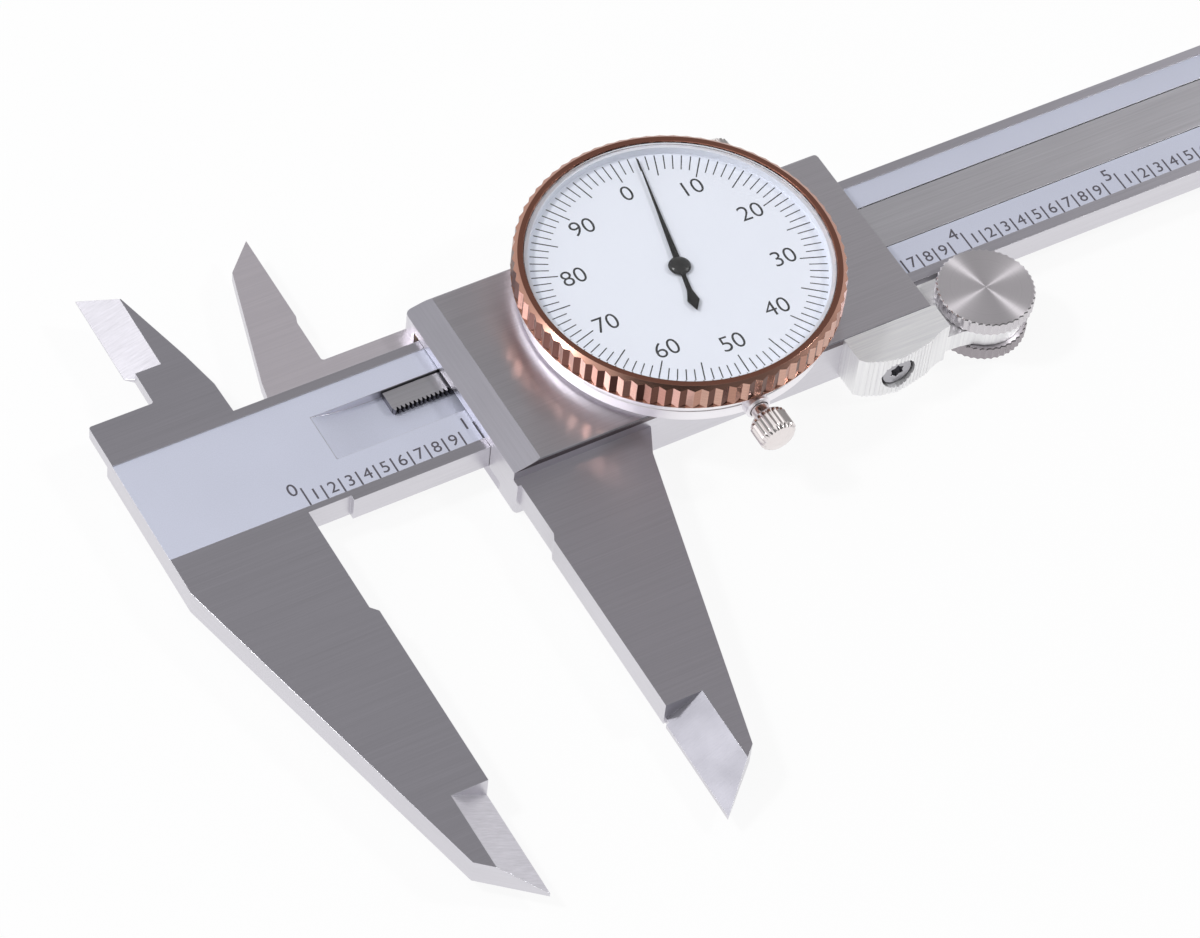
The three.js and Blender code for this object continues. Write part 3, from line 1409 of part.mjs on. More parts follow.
// Bezel and what turns with it: face, spacer and crystal
function makeBezel() {
  const barrel = turned(
    [
      [0, BEZEL_BOTTOM],
      [bezelRadius, BEZEL_BOTTOM],
      [bezelRadius, BEZEL_TOP - BEZEL_CHAMFER_HEIGHT],
      [bezelRadius - BEZEL_CHAMFER, BEZEL_TOP],
      [0, BEZEL_TOP],
    ],
    BEZEL_FLUTES,
  );
  const fluted = ridged(
    bezelRadius,
    FLUTE_DEPTH,
    BEZEL_FLUTES,
    BEZEL_BOTTOM - SPARE,
    BEZEL_TOP + SPARE,
  );
  const rim = fluted.rotate([0, 0, 90]).intersect(barrel);
  const skirt = disc(skirtOuter, SKIRT_BOTTOM, BEZEL_BOTTOM + SPARE, RING_SIDES);
  return cutAll(addAll(rim, [skirt]), [
    disc(glassRadius + FIT_GAP, FACE_SEAT, BEZEL_TOP + SPARE, RING_SIDES),
    disc(skirtInner, SKIRT_BOTTOM - SPARE, BEZEL_TOP, RING_SIDES),
  ]);
}

function makeFace() {
  const hole = disc(PIVOT_RADIUS + FACE_HOLE_GAP, FACE_SEAT - SPARE, faceTop + SPARE, SHAFT_SIDES);
  return disc(glassRadius, FACE_SEAT, faceTop, RING_SIDES).subtract(hole);
}
const spacer = ring(glassRadius - SPACER_WALL, glassRadius, faceTop, CRYSTAL_SEAT);
const crystal = disc(glassRadius, CRYSTAL_SEAT, CRYSTAL_SEAT + CRYSTAL_THICKNESS, RING_SIDES);
place(dial, "bezel_ring", makeBezel(), COPPER);
place(dial, "dial_face", makeFace(), WHITE);
place(dial, "spacer_ring", spacer, ALUMINIUM);
place(dial, "crystal", crystal, CLEAR);

// Spring ring between case and bezel: an open ring
const openEnd = 360 / RING_SIDES;
const springSteps = RING_SIDES - 2;
const springRing = plate(
  [
    ...arc(0, 0, caseInner + SPRING_GROOVE - SPRING_PLAY, openEnd, 360 - openEnd, springSteps),
    ...arc(0, 0, skirtOuter + SPRING_PLAY, 360 - openEnd, openEnd, springSteps),
  ],
  SPRING_LOW,
  SPRING_HIGH,
);
place(dial, "bezel_spring_ring", springRing, BRIGHT_STEEL);

// Bezel clamp screw and its pad, which presses on the bezel's skirt
const clampPadInner = skirtOuter + LOCK_TRAVEL_IN + FIT_GAP;
const clampPadOuter = clampPadInner + CLAMP_PAD_THICKNESS;
const clampKnobTop = -clampBossEnd - CLAMP_STANDOFF + SHANK_OVERLAP;
const clampPad = boreY(CLAMP_SHANK_RADIUS, 0, -clampPadOuter, -clampPadInner, 0, SHANK_SIDES);
const clampShank = boreY(
  CLAMP_SHANK_RADIUS,
  0,
  -clampBossEnd - CLAMP_STANDOFF,
  -clampPadOuter - FIT_GAP,
  0,
  SHANK_SIDES,
);
const clampKnob = knob(CLAMP_KNOB_RADIUS, CLAMP_KNOB_LENGTH, CLAMP_KNURL, CLAMP_BEVEL);
place(dial, "clamp_pad", clampPad, BRASS, CLAMP_OFFSET, 0, CLAMP_HEIGHT);
place(
  dial,
  "clamp_screw",
  clampKnob.rotate([180, 0, 0]).translate([0, clampKnobTop, 0]).add(clampShank),
  NICKEL,
  CLAMP_OFFSET,
  0,
  CLAMP_HEIGHT,
);

// The origin goes to the middle of the fixed jaw's measuring face.
const part = new THREE.Group();
caliper.position.set(0, -(faceStart + knifeStart) / 2, -beamMiddle);
part.add(caliper);
export default part;
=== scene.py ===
# %% [markdown]
# # A dial caliper, dressed for the camera
# A dial caliper is a steel beam with a fixed jaw, and a slider that carries the moving jaw, a clock-type
# dial and a thumb roller. The construction model already has every piece at its real size and on its
# real joint. This script adds what a model of flat facets lacks: broken edges, fine knurls, printed
# numerals and the finish of each surface. Sizes are written in millimetres and turned into metres last.

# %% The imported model
import json
import math
import random

import bmesh
import bpy
from mathutils import Matrix, Vector


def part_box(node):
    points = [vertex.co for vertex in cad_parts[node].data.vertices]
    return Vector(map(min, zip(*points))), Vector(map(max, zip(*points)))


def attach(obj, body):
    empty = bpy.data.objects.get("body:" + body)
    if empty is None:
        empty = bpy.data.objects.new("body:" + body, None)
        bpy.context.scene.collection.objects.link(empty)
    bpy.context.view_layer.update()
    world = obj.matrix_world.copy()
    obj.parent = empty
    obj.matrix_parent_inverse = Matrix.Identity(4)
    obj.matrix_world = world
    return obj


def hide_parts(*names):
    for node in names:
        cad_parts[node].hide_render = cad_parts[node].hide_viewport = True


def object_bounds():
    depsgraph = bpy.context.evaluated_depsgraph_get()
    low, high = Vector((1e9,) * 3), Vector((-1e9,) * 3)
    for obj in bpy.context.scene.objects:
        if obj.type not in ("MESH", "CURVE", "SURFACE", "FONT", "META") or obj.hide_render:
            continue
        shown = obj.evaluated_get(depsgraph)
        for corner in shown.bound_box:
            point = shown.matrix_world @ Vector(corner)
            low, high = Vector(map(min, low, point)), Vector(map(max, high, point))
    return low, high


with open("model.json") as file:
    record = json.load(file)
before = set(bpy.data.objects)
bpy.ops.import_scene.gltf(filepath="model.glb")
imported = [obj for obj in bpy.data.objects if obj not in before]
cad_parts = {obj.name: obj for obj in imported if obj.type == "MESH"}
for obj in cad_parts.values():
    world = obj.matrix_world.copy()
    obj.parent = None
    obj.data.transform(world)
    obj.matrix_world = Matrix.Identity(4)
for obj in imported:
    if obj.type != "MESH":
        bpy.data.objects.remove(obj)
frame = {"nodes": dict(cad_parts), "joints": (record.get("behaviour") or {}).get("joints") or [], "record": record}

cad_low, cad_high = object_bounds()
MM = 0.001
INCH = 25.4

# %% [markdown]
# ## One place to measure from
# The frame's origin is on the fixed jaw. It is easier to think of heights above the beam's front face
# and distances from its centre line, so `at` turns such a point into the frame's metres. Both come
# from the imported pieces, so nothing has to be fitted by eye.

# %% The beam's own coordinates
joints = {joint["name"]: joint for joint in frame["joints"]}
dial_centre = Vector(joints["pointer_spin"]["pos_m"]) / MM
roller_centre = Vector(joints["roller_spin"]["pos_m"]) / MM
front_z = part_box("beam")[1].z / MM
centre_y = dial_centre.y
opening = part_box("back_plate")[0].x / MM


def at(x, y, z):
    """A point in millimetres from the measuring plane, the centre line and the front face."""
    return Vector((x, y + centre_y, z + front_z)) * MM


def from_frame(point):
    """The same, the other way round."""
    return Vector((point.x / MM, point.y / MM - centre_y, point.z / MM - front_z))


def limits(node):
    """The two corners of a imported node's box, in the beam's coordinates."""
    return [from_frame(corner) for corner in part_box(node)]


slider_face = limits("slider_body")[1].z
DIAL_X = dial_centre.x
ROLLER_X = roller_centre.x
ROLLER_Y = roller_centre.y - centre_y
print("Jaws open", round(opening, 3), "mm, slider face", round(slider_face, 3), "mm above the beam")

# %% [markdown]
# ## The camera comes first
# A long lens makes the beam's edges almost parallel, as in the product photograph. The place was found
# by fitting a camera to the beam's own graduations, which stand a tenth of an inch apart.

# %% The camera
CAMERA_PLACE = (-185.23, -332.94, 484.67)
CAMERA_FORWARD = Vector((0.35871, 0.50693, -0.78380))
CAMERA_RIGHT = Vector((0.86805, -0.48992, 0.08041))
LENS = 141.95
SENSOR = 36.0


def shown(name, data):
    """An object in the scene with the given data."""
    piece = bpy.data.objects.new(name, data)
    bpy.context.scene.collection.objects.link(piece)
    return piece


camera_data = bpy.data.cameras.new("product_camera")
camera_data.lens = LENS
camera_data.sensor_width = SENSOR
camera_data.sensor_fit = "HORIZONTAL"
camera_data.clip_start = 0.05
camera_data.clip_end = 20
camera = shown("product_camera", camera_data)
forward = CAMERA_FORWARD.normalized()
right = CAMERA_RIGHT.normalized()
up = right.cross(forward).normalized()
turn = Matrix((right, up, -forward)).transposed()
camera.matrix_world = Matrix.Translation(at(*CAMERA_PLACE)) @ turn.to_4x4()
bpy.context.scene.camera = camera
print("Camera with a lens of", LENS, "mm")

# %% [markdown]
# ## Finishes that several pieces share
# Three effects come back on nearly every steel piece, so each is a node group with named inputs:
# grinding lines, edges that handling has polished, and the slight cloudiness that wiping leaves. They
# put out masks and heights, and each material decides what to do with them. A few helpers keep the
# groups short: each makes one node and plugs in either a socket or a plain value.

# %% A new group
def new_group(name, inputs, outputs):
    """A shader node group. Each input has a plain value, which also tells a vector from a number."""
    group = bpy.data.node_groups.new(name, "ShaderNodeTree")
    for label, value in inputs.items():
        kind = "NodeSocketVector" if isinstance(value, tuple) else "NodeSocketFloat"
        socket = group.interface.new_socket(label, in_out="INPUT", socket_type=kind)
        socket.default_value = value
    for label in outputs:
        group.interface.new_socket(label, in_out="OUTPUT", socket_type="NodeSocketFloat")
    print("Node group:", name)
    return group, group.nodes.new("NodeGroupInput"), group.nodes.new("NodeGroupOutput")


# %% One node at a time
def plug(tree, value, socket):
    """Links a socket, or writes a plain value."""
    if isinstance(value, bpy.types.NodeSocket):
        tree.links.new(value, socket)
    else:
        socket.default_value = value


def math_node(tree, operation, *values):
    node = tree.nodes.new("ShaderNodeMath")
    node.operation = operation
    for socket, value in zip(node.inputs, values):
        plug(tree, value, socket)
    return node.outputs[0]


def vector_node(tree, operation, first, second=None):
    """One Vector Math node. Its scale, and a length or dot product, have sockets of their own."""
    node = tree.nodes.new("ShaderNodeVectorMath")
    node.operation = operation
    plug(tree, first, node.inputs[0])
    if second is not None:
        plug(tree, second, node.inputs["Scale" if operation == "SCALE" else 1])
    return node.outputs["Value" if operation in ("LENGTH", "DOT_PRODUCT") else "Vector"]


def noise_node(tree, vector, detail, roughness):
    node = tree.nodes.new("ShaderNodeTexNoise")
    node.inputs["Scale"].default_value = 1.0
    node.inputs["Detail"].default_value = detail
    node.inputs["Roughness"].default_value = roughness
    tree.links.new(vector, node.inputs["Vector"])
    return node.outputs["Fac"]


def stretched(tree, noise):
    """Noise keeps near one half. This spreads it over 0 to 1."""
    return math_node(tree, "MULTIPLY_ADD", noise, 2.0, -0.5)


# %% [markdown]
# ### Grinding lines
# A ground or brushed face is covered with fine parallel scratches. Noise that is squeezed across the
# grain and stretched along it looks the same, and one vector input sets both: a small number along the
# grain and a large one across. Two layers, one finer, keep the lines from looking like a bar code.

# %% The grain group
FINER = (2.3, 2.9, 2.9)
COARSE_SHARE = 0.6
grain_group, source, target = new_group(
    "Ground Grain", {"Place": (0, 0, 0), "Lines per mm": (0.05, 4, 4)}, ["Height", "Streaks"])
squeezed = vector_node(grain_group, "MULTIPLY", source.outputs["Place"], source.outputs["Lines per mm"])
coarse = noise_node(grain_group, squeezed, 3.0, 0.6)
fine = noise_node(grain_group, vector_node(grain_group, "MULTIPLY", squeezed, FINER), 2.0, 0.5)
height = math_node(grain_group, "ADD", math_node(grain_group, "MULTIPLY", coarse, COARSE_SHARE),
                   math_node(grain_group, "MULTIPLY", fine, 1 - COARSE_SHARE))
grain_group.links.new(height, target.inputs["Height"])
grain_group.links.new(stretched(grain_group, height), target.inputs["Streaks"])

# %% [markdown]
# ### Polished edges
# The Bevel node looks at the surface as if its edges were rounded. Where that rounded normal differs
# from the real one an edge is near, and handling has rubbed it bright.

# %% The worn edge group
edge_group, source, target = new_group("Polished Edge", {"Reach": 0.0002, "Gain": 3.0}, ["Mask"])
rounded = edge_group.nodes.new("ShaderNodeBevel")
rounded.samples = 4
edge_group.links.new(source.outputs["Reach"], rounded.inputs["Radius"])
surface = edge_group.nodes.new("ShaderNodeNewGeometry")
likeness = vector_node(edge_group, "DOT_PRODUCT", rounded.outputs["Normal"], surface.outputs["Normal"])
difference = math_node(edge_group, "SUBTRACT", 1.0, likeness)
gained = math_node(edge_group, "MULTIPLY", difference, source.outputs["Gain"])
edge_group.links.new(math_node(edge_group, "MINIMUM", gained, 1.0), target.inputs["Mask"])

# %% [markdown]
# ### Cloudiness
# Even a clean tool isn't equally shiny all over. A slow noise, a few millimetres across, shifts the
# roughness a little.

# %% The cloud group
cloud_group, source, target = new_group(
    "Wiped Cloud", {"Place": (0, 0, 0), "Size in mm": 9.0}, ["Cloud"])
per_mm = math_node(cloud_group, "DIVIDE", 1.0, source.outputs["Size in mm"])
scaled = vector_node(cloud_group, "SCALE", source.outputs["Place"], per_mm)
cloud_group.links.new(noise_node(cloud_group, scaled, 3.0, 0.55), target.inputs["Cloud"])

# %% [markdown]
# ### Turned rings
# A lathe leaves rings round its axis. The distance from the axis and the height along it go through the
# same kind of noise, so that the rings have uneven spacing on a face and on a wall.

# %% The ring group
ring_group, source, target = new_group(
    "Turned Rings", {"Place": (0, 0, 0), "Axis Point": (0, 0, 0), "Rings per mm": 4.0},
    ["Height", "Streaks"])
offset = vector_node(ring_group, "SUBTRACT", source.outputs["Place"], source.outputs["Axis Point"])
from_axis = vector_node(ring_group, "LENGTH", vector_node(ring_group, "MULTIPLY", offset, (1, 1, 0)))
split = ring_group.nodes.new("ShaderNodeSeparateXYZ")
ring_group.links.new(offset, split.inputs[0])
ring_place = ring_group.nodes.new("ShaderNodeCombineXYZ")
for distance, socket in zip((from_axis, split.outputs["Z"]), ring_place.inputs):
    counted = math_node(ring_group, "MULTIPLY", distance, source.outputs["Rings per mm"])
    ring_group.links.new(counted, socket)
rings = noise_node(ring_group, ring_place.outputs[0], 3.0, 0.6)
ring_group.links.new(rings, target.inputs["Height"])
ring_group.links.new(stretched(ring_group, rings), target.inputs["Streaks"])

# %% [markdown]
# ## A metal finish, built from those groups
# Each steel is one Principled shader. Its colour is the photographed tone, shifted a little by the
# grain, and lighter where the edge group says so. The grain also moves the roughness and, through a
# Bump node, the highlight. A ground face also smears reflections across its grain: that is anisotropy,
# and Blender smears along the tangent, so the tangent input gets the direction across the grain. On a
# turned face that direction points outward from the axis.

# %% Colours
def linear(red, green, blue):
    """A colour as the eye reads it, 0 to 255, in the linear values that shaders use."""
    def one(value):
        share = value / 255
        return share / 12.92 if share <= 0.04045 else ((share + 0.055) / 1.055) ** 2.4
    return one(red), one(green), one(blue), 1.0


def tone(colour, factor):
    return tuple(min(1.0, channel * factor) for channel in colour[:3]) + (1.0,)


# %% Materials and their nodes
def new_material(name, metallic=0.0):
    """A material, its node tree and its Principled shader."""
    material = bpy.data.materials.new(name)
    material.use_nodes = True
    shader = material.node_tree.nodes["Principled BSDF"]
    shader.inputs["Metallic"].default_value = metallic
    return material, material.node_tree, shader


def use_group(tree, group, **values):
    node = tree.nodes.new("ShaderNodeGroup")
    node.node_tree = group
    for label, value in values.items():
        plug(tree, value, node.inputs[label.replace("_", " ")])
    return node


def place_in_mm(tree):
    """Where a point is on its piece, in millimetres."""
    coordinates = tree.nodes.new("ShaderNodeTexCoord")
    return vector_node(tree, "SCALE", coordinates.outputs["Object"], 1 / MM)


def shaded(tree, low, high, factor):
    """A colour between two colours."""
    mix = tree.nodes.new("ShaderNodeMix")
    mix.data_type = "RGBA"
    for label, kind, value in (("A", "RGBA", low), ("B", "RGBA", high), ("Factor", "VALUE", factor)):
        plug(tree, value, [s for s in mix.inputs if s.name == label and s.type == kind][0])
    return [s for s in mix.outputs if s.type == "RGBA"][0]


def bumped(tree, shader, height, depth):
    """Lets a pattern, depth millimetres high, tilt the surface."""
    bump = tree.nodes.new("ShaderNodeBump")
    bump.inputs["Strength"].default_value = 1.0
    bump.inputs["Distance"].default_value = depth * MM
    tree.links.new(height, bump.inputs["Height"])
    tree.links.new(bump.outputs["Normal"], shader.inputs["Normal"])


# %% The metal function
WORN_LIFT = 1.7
EDGE_GAIN = 3.0
CLOUD_SIZE = 9.0


def metal(name, colour, roughness, grain=None, rings=None, contrast=0.12, depth=0.004, cloud=0.05,
          anisotropic=0.0, across=None, wear=0.35, reach=0.16):
    """A metal. grain is lines per mm along X, Y and Z; rings is (axis point, rings per mm)."""
    colour = linear(*colour)
    material, tree, shader = new_material(name, metallic=1.0)
    shader.inputs["Anisotropic"].default_value = anisotropic
    place = place_in_mm(tree)
    if rings:
        pattern = use_group(tree, ring_group, Place=place, Axis_Point=rings[0], Rings_per_mm=rings[1])
    else:
        pattern = use_group(tree, grain_group, Place=place, Lines_per_mm=grain)
    streaks = pattern.outputs["Streaks"]
    edge = use_group(tree, edge_group, Reach=reach * MM, Gain=EDGE_GAIN)
    clouds = use_group(tree, cloud_group, Place=place, Size_in_mm=CLOUD_SIZE)
    streaked = shaded(tree, tone(colour, 1 - contrast), tone(colour, 1 + contrast), streaks)
    worn = math_node(tree, "MULTIPLY", edge.outputs["Mask"], wear)
    tree.links.new(shaded(tree, streaked, tone(colour, WORN_LIFT), worn), shader.inputs["Base Color"])
    uneven = math_node(tree, "MULTIPLY_ADD", clouds.outputs["Cloud"], cloud, roughness - cloud / 2)
    grained = math_node(tree, "MULTIPLY_ADD", streaks, cloud / 2, uneven)
    tree.links.new(grained, shader.inputs["Roughness"])
    bumped(tree, shader, pattern.outputs["Height"], depth)
    if across == "outward":
        offset = vector_node(tree, "SUBTRACT", place, rings[0])
        tree.links.new(vector_node(tree, "MULTIPLY", offset, (1, 1, 0)), shader.inputs["Tangent"])
    elif across:
        tangent = tree.nodes.new("ShaderNodeCombineXYZ")
        for socket, value in zip(tangent.inputs, across):
            socket.default_value = value
        tree.links.new(tangent.outputs[0], shader.inputs["Tangent"])
    return material


# %% [markdown]
# ## The steels
# The large faces are ground along the beam and come out a mid grey. The walls round them were milled
# and lapped, and the knife edges were ground at a slope. Walls, knives and nibs get copies of the steel
# in tones painted for the light each side catches: lighter for most of them, and darker as painted
# shade on some of the slider's walls and on the sides down in the slot. The bevels of broken edges get
# a painted highlight. The scale band is blasted: a pale, slightly blue, even grey with no direction at
# all.

# %% Steel finishes
ALONG_X = (0.045, 3.2, 3.2)
ALONG_Y = (3.2, 0.05, 3.2)
KNIFE_GRAIN = (0.25, 3.6, 0.5)
ACROSS_X = (1, 0, 0)
ACROSS_Y = (0, 1, 0)
GROUND = {"grain": ALONG_X, "depth": 0.0035, "across": ACROSS_Y}
SLOPED = {"grain": KNIFE_GRAIN, "contrast": 0.16, "cloud": 0.2}
face_steel = metal("face_steel", (203, 200, 209), 0.36, contrast=0.08, anisotropic=0.9, **GROUND)
slider_steel = metal("slider_steel", (216, 212, 219), 0.38, contrast=0.1, anisotropic=0.95, **GROUND)
jaw_steel = metal("jaw_steel", (214, 210, 219), 0.42, contrast=0.08, anisotropic=0.96, **GROUND)
bevel_steel = metal("bevel_steel", (183, 181, 190), 0.36, ALONG_Y, contrast=0.07, depth=0.003,
                    anisotropic=0.8, across=ACROSS_X)
# The nib's face gets a lighter copy of the steel, painted light.
nib_steel = metal("nib_steel", (248, 241, 249), 0.4, ALONG_X, contrast=0.06, depth=0.003,
                  anisotropic=0.8, across=ACROSS_Y)
# A lighter copy of the steel for walls: painted light.
lit_wall_steel = metal("lit_wall_steel", (216, 214, 220), 0.34, (0.08, 0.08, 3.0), contrast=0.05, depth=0.003)
lapped_steel = metal("lapped_steel", (232, 230, 234), 0.22, (2.6, 0.1, 2.6), contrast=0.04, depth=0.002)
# Painted shade on the slider's walls: a little darker low on the walls that face -Y, a dark line on them under the
# face's edge, and a darker left wall.
step_steel = metal("step_steel", (196, 192, 198), 0.32, ALONG_X, contrast=0.06, depth=0.003)
shade_steel = metal("shade_steel", (112, 104, 108), 0.4, ALONG_X, contrast=0.1, depth=0.003)
shaded_side_steel = metal("shaded_side_steel", (128, 125, 132), 0.42, ALONG_Y, contrast=0.08, depth=0.003, wear=0.1)
# Knife and nib slopes: copies of the steel in tones painted for the light each side catches.
knife_steel = metal("knife_steel", (216, 214, 221), 0.42, depth=0.02, anisotropic=0.4, across=ACROSS_Y,
                    **SLOPED)
lit_knife_steel = metal("lit_knife_steel", (160, 159, 167), 0.5, depth=0.025, **SLOPED)
lit_nib_steel = metal("lit_nib_steel", (209, 207, 214), 0.5, depth=0.025, **SLOPED)
satin_steel = metal("satin_steel", (225, 228, 243), 0.6, (7, 7, 7), contrast=0.06, depth=0.005, wear=0.2)
strip_steel = metal("strip_steel", (204, 202, 208), 0.44, ALONG_X, contrast=0.12, depth=0.005,
                    anisotropic=0.7, across=ACROSS_Y)
# Painted shade for the sides down in the slot.
dark_steel = metal("dark_steel", (96, 94, 100), 0.4, ALONG_X, contrast=0.1, depth=0.004)
# A painted highlight for the bevels on broken edges.
edge_highlight_steel = metal("edge_highlight_steel", (214, 213, 220), 0.3, (1, 1, 1), contrast=0.05, depth=0.001, wear=0)
screw_steel = metal("screw_steel", (176, 175, 180), 0.3, (2, 2, 2), contrast=0.08, depth=0.002)
print("Steel finishes:", len(bpy.data.materials))

# %% [markdown]
# ## Copying a piece and breaking its edges
# The imported solids have perfectly sharp edges, which never catch light. A copy of each can be cleaned of
# its extra triangles and given a small Bevel modifier. The bevel gets a brighter material of its own, a
# painted highlight that makes the broken edges the brightest lines in the picture. The copy then stands in
# for the imported piece.

# %% Angles, bodies and slots
FLAT_ANGLE = math.radians(0.6)
SHARP_ANGLE = math.radians(38)
WALL_TILT = 0.05
LEAST_ANGLE = math.radians(11)
WELD = 1e-7
bodies = frame["record"]["behaviour"]["bodies"]
body_of = {node: body for body, members in bodies.items() for node in members}
slot_of = {row["node"]: row["material_slot"] for row in frame["record"]["subparts"]}
print("Slots:", sorted(set(slot_of.values())))


def link(piece, body, slot_name, *nodes):
    """Puts a piece on its body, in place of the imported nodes."""
    print(piece.name, "rides on", body, "as", slot_name)
    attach(piece, body)
    if nodes:
        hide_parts(*nodes)


# %% A cleaned copy with broken edges
def broken_edges(piece, width, method="ANGLE", angle=SHARP_ANGLE):
    """A small bevel on the edges that turn by more than an angle, or on the ones given a weight."""
    bevel = piece.modifiers.new("Broken edges", "BEVEL")
    bevel.width = width * MM
    bevel.segments = 2
    bevel.limit_method = method
    bevel.angle_limit = angle
    bevel.harden_normals = True
    return bevel


def cleaned_copy(node, split_at):
    """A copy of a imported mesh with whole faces, and a weight on each edge that turns sharply."""
    original = frame["nodes"][node].data
    build = bmesh.new()
    corners = [build.verts.new(vertex.co) for vertex in original.vertices]
    for face in original.polygons:
        build.faces.new([corners[index] for index in face.vertices])
    bmesh.ops.remove_doubles(build, verts=build.verts, dist=WELD)
    bmesh.ops.dissolve_limit(build, angle_limit=FLAT_ANGLE, verts=build.verts, edges=build.edges)
    if split_at is not None:
        everything = build.verts[:] + build.edges[:] + build.faces[:]
        bmesh.ops.bisect_plane(build, geom=everything, plane_co=at(0, 0, split_at), plane_no=(0, 0, 1),
                               dist=WELD)
    bmesh.ops.recalc_face_normals(build, faces=build.faces)
    weights = build.edges.layers.float.new("bevel_weight_edge")
    for line in build.edges:
        walls = all(abs(face.normal.z) < WALL_TILT for face in line.link_faces)
        sharp = line.calc_face_angle(0) > (SHARP_ANGLE if walls else LEAST_ANGLE)
        line.smooth = not sharp
        line[weights] = 1.0 if sharp else 0.0
    mesh = bpy.data.meshes.new("dressed_" + node)
    build.to_mesh(mesh)
    build.free()
    mesh.polygons.foreach_set("use_smooth", [True] * len(mesh.polygons))
    return mesh


# %% Dressing a piece
def dressed(node, choose, edge, edge_material=None, split_at=None):
    """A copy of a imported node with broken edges. choose is a material or a function of a face. Walls can
    be split at a height, so that what is above and below it gets a material of its own."""
    mesh = cleaned_copy(node, split_at)
    if callable(choose):
        finishes = [choose(from_frame(face.center), face.normal) for face in mesh.polygons]
    else:
        finishes = [choose] * len(mesh.polygons)
    palette = list(dict.fromkeys(finishes))
    for material in palette:
        mesh.materials.append(material)
    for face, material in zip(mesh.polygons, finishes):
        face.material_index = palette.index(material)
    piece = shown("dressed_" + node, mesh)
    bevel = broken_edges(piece, edge, method="WEIGHT")
    if edge_material:
        mesh.materials.append(edge_material)
        bevel.material = len(palette)
    link(piece, body_of[node], slot_of[node], node)


# %% [markdown]
# ## Beam and fixed jaw
# One hardened piece. A face is told from another by where it lies and which way it looks: the scale band
# is a little below the front face, the knife is the slope on the jaw's tip, and whatever looks sideways
# is a wall.

# %% The beam
LOOKS_UP = 0.9
KNIFE_TILT = 0.3
BEAM_HALF_WIDTH = 10.0
BAND_LIMIT = -0.05
JAW_PLANE = 0.05


def beam_finish(centre, normal):
    if normal.z > LOOKS_UP:
        if centre.z > BAND_LIMIT:
            return face_steel
        return satin_steel if abs(centre.y) < BEAM_HALF_WIDTH else lit_nib_steel
    # Slopes get tones painted for the light each side catches.
    if normal.z > KNIFE_TILT:
        if abs(centre.y) < BEAM_HALF_WIDTH:
            return satin_steel
        return knife_steel if normal.x > 0 else lit_nib_steel
    if normal.z < -LOOKS_UP:
        return face_steel
    if normal.x > LOOKS_UP and abs(centre.x) < JAW_PLANE:
        return lapped_steel
    # Other walls get the lighter copy of the steel, painted light.
    return lit_wall_steel


dressed("beam", beam_finish, edge=0.1, edge_material=edge_highlight_steel)

# %% [markdown]
# ## Slider
# The slider's big front face is brushed along the beam, and the sloped strip at its left end across it,
# so the two meet in a clear line. Its jaw and nib are ground like the beam's; the nib's face and the
# sloped faces get tones painted for the light they catch. Under the face's lower edge the walls carry a
# dark line of painted shade, so they are split at that height, and the left wall gets painted shade too.
# The back plate, the gib and the depth bar are plain ground strips, and the depth bar's sides get
# painted shade.

# %% The slider
COVER_THICKNESS = 0.95
COVER_FOOT = slider_face - COVER_THICKNESS
COVER_LIMIT = 1.0
BEVEL_TILT = 0.1


def slider_finish(centre, normal):
    if normal.z > LOOKS_UP:
        if normal.x < -BEVEL_TILT:
            return bevel_steel
        if centre.z > COVER_LIMIT:
            return slider_steel
        # The nib's face gets a lighter tone, painted light.
        return nib_steel if centre.y > 0 else jaw_steel
    # Sloped faces get a tone painted for the light they catch.
    if normal.z > KNIFE_TILT:
        return lit_knife_steel
    if normal.z < -LOOKS_UP:
        return face_steel
    # Painted shade: the walls facing -Y are dark under the face's edge and a little darker below it, and the left
    # wall is darker too.
    if normal.y < -LOOKS_UP and centre.z > 0:
        return shade_steel if centre.z > COVER_FOOT else step_steel
    if normal.x < -LOOKS_UP and centre.z > 0:
        return shaded_side_steel
    # Other walls get the lighter copy of the steel, painted light.
    return lit_wall_steel


def depth_bar_finish(centre, normal):
    # The depth bar's sides, down in the slot, get painted shade.
    return strip_steel if normal.z > LOOKS_UP else dark_steel


dressed("slider_body", slider_finish, edge=0.1, edge_material=edge_highlight_steel, split_at=COVER_FOOT)
dressed("back_plate", face_steel, edge=0.15, edge_material=edge_highlight_steel)
dressed("gib_strip", metal("gib_brass", (196, 162, 104), 0.35, ALONG_X), edge=0.08)
dressed("depth_bar", depth_bar_finish, edge=0.1, edge_material=edge_highlight_steel)

# %% [markdown]
# ## Rack
# The rack is a long thin bar with a tooth every 0.025 inch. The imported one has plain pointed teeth. Here
# each gets its flat tip and root, which takes four sections a tooth, and a loft joins each section to
# the next. The bezel and the pointer use the same loft.

# %% A mesh from points
def mesh_piece(name, points, faces, materials=(), sharp=SHARP_ANGLE):
    """An object from points in beam coordinates."""
    mesh = bpy.data.meshes.new(name)
    mesh.from_pydata([at(*point) for point in points], [], faces)
    mesh.validate()
    build = bmesh.new()
    build.from_mesh(mesh)
    bmesh.ops.recalc_face_normals(build, faces=build.faces)
    build.to_mesh(mesh)
    build.free()
    for material in materials:
        mesh.materials.append(material)
    mesh.polygons.foreach_set("use_smooth", [True] * len(mesh.polygons))
    mesh.set_sharp_from_angle(angle=sharp)
    return shown(name, mesh)


